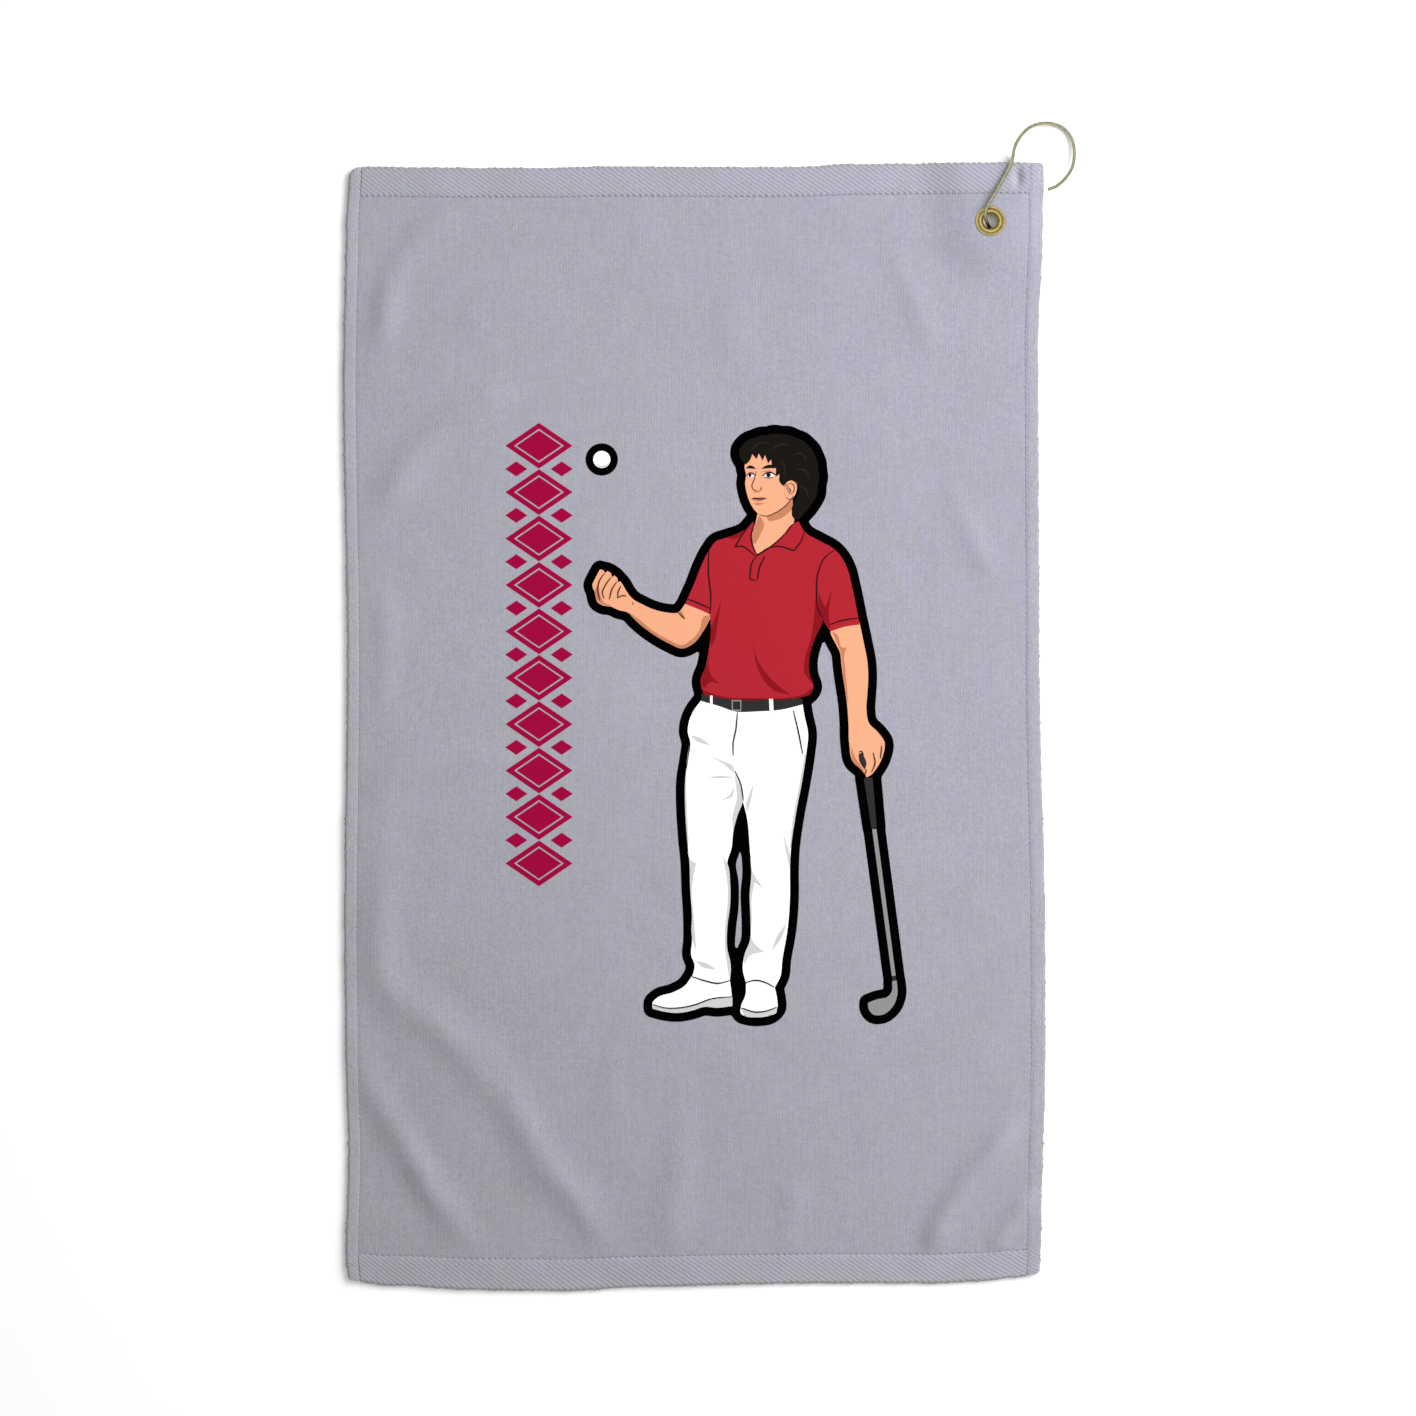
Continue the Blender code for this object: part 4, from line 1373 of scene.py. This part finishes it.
RIGHT_SHOE = [
    (31, -149.5), (31, -149.5), (37, -148.5), (42, -149.5), (47.5, -152), (47.5, -152),
    (49, -159.5), (49, -165), (45.5, -168.5), (39, -170), (32, -169.5), (28, -168), (28, -163.5),
    (30.5, -157.5),
]
SOLES = [
    [
        (-23.5, -163), (-23.5, -163), (-16.5, -165), (-7.5, -165), (2, -163), (10, -160),
        (23, -158), (23, -158), (23, -163.5), (23, -163.5), (14, -164.5), (6.5, -164), (0, -166),
        (-8.5, -167.5), (-18, -166.5), (-23.5, -165),
    ],
    [
        (28, -164.5), (28, -164.5), (37, -167), (44, -166), (49, -164), (49, -164), (48.5, -167.5),
        (44, -169), (37, -170), (30, -169),
    ],
]
GRIP = [(99.5, -31), (104.5, -30.5), (107, -59.5), (104, -60.5)]
GRIP_END = [(96.5, -17), (98.5, -16), (101, -23), (100, -26), (97, -21)]
SHAFT = [(104.3, -60.5), (106.8, -60.5), (118, -146), (115.8, -146.3)]
FERRULE = [(115.8, -146), (118, -145.8), (118.3, -148.5), (116, -148.8)]
CLUB_HEAD = [
    (116, -149), (116, -149), (118.5, -148.5), (118.5, -148.5), (119, -156.5), (116.5, -163.5),
    (110.5, -168.5), (105, -168.5), (102, -164.5), (102, -161.5), (107.5, -159.5), (113.5, -158),
    (115.5, -155.5),
]
BALL = (-53, 154.5)
BALL_SHADE = [(4.6, -1), (2.6, -4), (-1.6, -4.6), (-4, -2.4), (-1.6, -3.7), (2, -3.2)]
OUTLINE_WIDTH = 5.2 * MM

# The column of argyle diamonds beside the golfer, in mm
ARGYLE_CENTRE = -89.5
ARGYLE_TOP = 176
ARGYLE_PITCH = 27
ARGYLE_COUNT = 10


def on_head(points):
    return [(HEAD[0] + x, HEAD[1] + y) for x, y in points]


def print_golfer():
    black = ink_finish("ink_black", (0.0006, 0.0006, 0.0006))
    line_ink = ink_finish("ink_line", (0.020, 0.008, 0.008))
    hair_ink = ink_finish("ink_hair", (0.0088, 0.0072, 0.0062))
    skin = ink_finish("ink_skin", (0.74, 0.345, 0.195))
    skin_shade = ink_finish("ink_skin_shade", (0.47, 0.185, 0.095))
    red = ink_finish("ink_shirt", (0.367, 0.0172, 0.0268))
    dark_red = ink_finish("ink_shirt_shade", (0.218, 0.0070, 0.0112))
    white = ink_finish("ink_white", (0.88, 0.88, 0.88))
    grey = ink_finish("ink_fold", (0.52, 0.52, 0.515))
    charcoal = ink_finish("ink_charcoal", (0.024, 0.024, 0.025))
    steel = ink_finish("ink_steel", (0.232, 0.232, 0.234))
    hair_shine = ink_finish("ink_hair_shine", (0.022, 0.018, 0.015))
    lip_ink = ink_finish("ink_lips", (0.50, 0.165, 0.110))

    face = outline(on_head(FACE))
    limbs = [outline(LEFT_ARM), outline(RIGHT_ARM), outline(NECK), face]
    club = [straight(GRIP), straight(SHAFT), outline(CLUB_HEAD)]
    shoes = [outline(LEFT_SHOE), outline(RIGHT_SHOE)]
    clothes = [outline(SHIRT), outline(TROUSERS)]
    shapes = [*limbs, outline(HAIR), *clothes, *shoes, *club]
    points, faces = border_round(shapes, OUTLINE_WIDTH, 1.3 * MM)
    raise_ink("print_golfer_border", points, faces, 0.10, black)

    print_shapes("print_skin", [[shape] for shape in limbs[:3]], 0.16, skin)
    print_shapes("print_trousers", [[clothes[1]], *([shoe] for shoe in shoes)], 0.16, white)
    print_shapes("print_trouser_folds", outlines([*TROUSER_FOLDS, *SOLES]), 0.22, grey)
    print_shapes("print_skin_shade", outlines(SKIN_SHADE), 0.22, skin_shade)
    print_shapes("print_shirt", [[clothes[0]]], 0.28, red)
    print_shapes("print_shirt_folds", outlines(SHIRT_FOLDS), 0.34, dark_red)
    print_shapes("print_face", [[face]], 0.28, skin)
    print_shapes("print_hair", outlines([HAIR]), 0.34, hair_ink)
    print_strokes("print_hair_lines", [(line, 0.7) for line in HAIR_LINES], 0.40, hair_shine)
    print_shapes("print_ear", outlines([on_head(EAR)]), 0.40, skin)
    print_shapes("print_face_shade", outlines(map(on_head, FACE_SHADE)), 0.46, skin_shade)
    print_shapes("print_lips", outlines([on_head(LIPS)]), 0.34, lip_ink)
    print_shapes("print_brows", outlines(map(on_head, BROWS)), 0.40, hair_ink)
    print_shapes("print_eyes", outlines(map(on_head, EYE_WHITES)), 0.34, white)
    irises = [[ellipse(on_head([place])[0], *size)] for place, size in IRISES]
    print_shapes("print_irises", irises, 0.40, hair_ink)

    strokes = [(line, 0.8) for line in [*SHIRT_LINES, *TROUSER_LINES]]
    strokes += [(line, 0.65) for line in HAND_LINES]
    strokes += [(on_head(line), 0.5) for line in FACE_LINES]
    strokes += [(on_head(line), 0.85) for line in LID_LINES]
    print_strokes("print_pen_lines", strokes, 0.48, line_ink)

    belt_and_grip = [[outline(BELT)], [straight(GRIP)], [outline(GRIP_END)]]
    print_shapes("print_belt_and_grip", belt_and_grip, 0.34, charcoal)
    print_shapes("print_belt_loops", [[straight(loop)] for loop in BELT_LOOPS], 0.40, white)
    club_and_buckle = [[straight(SHAFT)], [outline(CLUB_HEAD)], [straight(edge) for edge in BUCKLE]]
    print_shapes("print_club_and_buckle", club_and_buckle, 0.40, steel)
    print_shapes("print_ferrule", [[straight(FERRULE)]], 0.46, charcoal)

    print_shapes("print_ball_ring", [[ellipse(BALL, 9.4, 9.4, steps=48)]], 0.10, black)
    print_shapes("print_ball", [[ellipse(BALL, 5.0, 5.0, steps=40)]], 0.16, white)
    shade = [(BALL[0] + x, BALL[1] + y) for x, y in BALL_SHADE]
    print_shapes("print_ball_shade", outlines([shade]), 0.22, grey)


def diamond(x, y, half_width, half_height):
    return straight(
        [(x - half_width, y), (x, y - half_height), (x + half_width, y), (x, y + half_height)]
    )


def print_argyle():
    """An even column of diamonds with an open line inside each, and small ones between."""
    crimson = ink_finish("ink_crimson", (0.290, 0.0030, 0.0400))
    x = ARGYLE_CENTRE
    shapes = []
    for i in range(ARGYLE_COUNT):
        y = ARGYLE_TOP - ARGYLE_PITCH * (i + 0.5)
        shapes.append([diamond(x, y, 19.5, 13.3), diamond(x, y, 14.6, 9.95)])
        shapes.append([diamond(x, y, 13.0, 8.85)])
        if i:
            above = y + ARGYLE_PITCH / 2
            shapes += [[diamond(x + side * 13.2, above, 6.4, 4.35)] for side in (-1, 1)]
    print_shapes("print_argyle_column", shapes, 0.12, crimson)


# ---------------------------------------------------------------- stage, light, camera

# The camera looks straight down, and its picture shows this width of the floor
FRAME_WIDTH = 0.8247
CAMERA_HEIGHT = 3.0
CAMERA_CENTRE = (0.0088, 0.0099)
SENSOR_WIDTH = 36.0
FLOOR_HALF = 30.0
FLOOR_LEVEL = -0.3 * MM

# Brightness of the studio's walls and ceiling, from the horizon (0) to straight up (1),
# slightly warm in between
WORLD_LEVELS = ((0.0, 0.60), (1.0, 1.45))
WORLD_LEVELS_BETWEEN = ((0.20, 0.50), (0.50, 0.42), (0.72, 0.55), (0.86, 1.00))
WARM_BLUE = 0.98
WORLD_STRENGTH = 0.83

# The key light, above the hook's side of the towel
KEY_PLACE = (1.45, 0.72, 1.20)
KEY_SIZE = (1.8, 1.5)
KEY_POWER = 58.3
KEY_COLOUR = (0.985, 0.985, 1.04)


def make_stage():
    mesh = bpy.data.meshes.new("floor")
    corners = [(-1, -1), (1, -1), (1, 1), (-1, 1)]
    points = [(x * FLOOR_HALF, y * FLOOR_HALF, FLOOR_LEVEL) for x, y in corners]
    mesh.from_pydata(points, [], [(0, 1, 2, 3)])
    floor = bpy.data.objects.new("floor", mesh)
    bpy.context.scene.collection.objects.link(floor)
    paper = Finish("pale_floor", 0.9, specular=0.1)
    tone = paper.blend(paper.noise((3, 3, 3), 2.0), (0.955, 0.955, 0.955), (0.945, 0.945, 0.945))
    paper.links.new(tone, paper.shader.inputs["Base Color"])
    mesh.materials.append(paper.material)


def make_light():
    world = bpy.data.worlds.new("studio")
    world.use_nodes = True
    bpy.context.scene.world = world
    nodes = world.node_tree.nodes
    links = world.node_tree.links
    place = nodes.new("ShaderNodeTexCoord").outputs["Generated"]
    height = nodes.new("ShaderNodeSeparateXYZ")
    links.new(place, height.inputs[0])
    ramp = nodes.new("ShaderNodeValToRGB")
    links.new(height.outputs["Z"], ramp.inputs["Fac"])
    stops = ramp.color_ramp.elements
    for element, (position, level) in zip(stops, WORLD_LEVELS):
        element.position = position
        element.color = (level, level, level, 1.0)
    for position, level in WORLD_LEVELS_BETWEEN:
        element = stops.new(position)
        element.color = (level, level, level * WARM_BLUE, 1.0)
    links.new(ramp.outputs["Color"], nodes["Background"].inputs["Color"])
    nodes["Background"].inputs["Strength"].default_value = WORLD_STRENGTH

    key = bpy.data.lights.new("key_softbox", "AREA")
    key.shape = "RECTANGLE"
    key.size, key.size_y = KEY_SIZE
    key.energy = KEY_POWER
    key.color = KEY_COLOUR
    lamp = bpy.data.objects.new("key_softbox", key)
    lamp.location = KEY_PLACE
    lamp.rotation_euler = (-Vector(lamp.location)).to_track_quat("-Z", "Y").to_euler()
    lamp.visible_glossy = False
    bpy.context.scene.collection.objects.link(lamp)


def make_camera():
    data = bpy.data.cameras.new("camera")
    data.sensor_width = SENSOR_WIDTH
    data.lens = data.sensor_width * CAMERA_HEIGHT / FRAME_WIDTH
    camera = bpy.data.objects.new("camera", data)
    camera.location = (*CAMERA_CENTRE, CAMERA_HEIGHT)
    bpy.context.scene.collection.objects.link(camera)
    bpy.context.scene.camera = camera
    bpy.context.scene.view_settings.view_transform = "Standard"


make_stage()
make_light()
make_camera()
panel = make_panel()
hems = make_hems()
threads = make_stitching()
make_grommet()
make_hook()
print_golfer()
print_argyle()
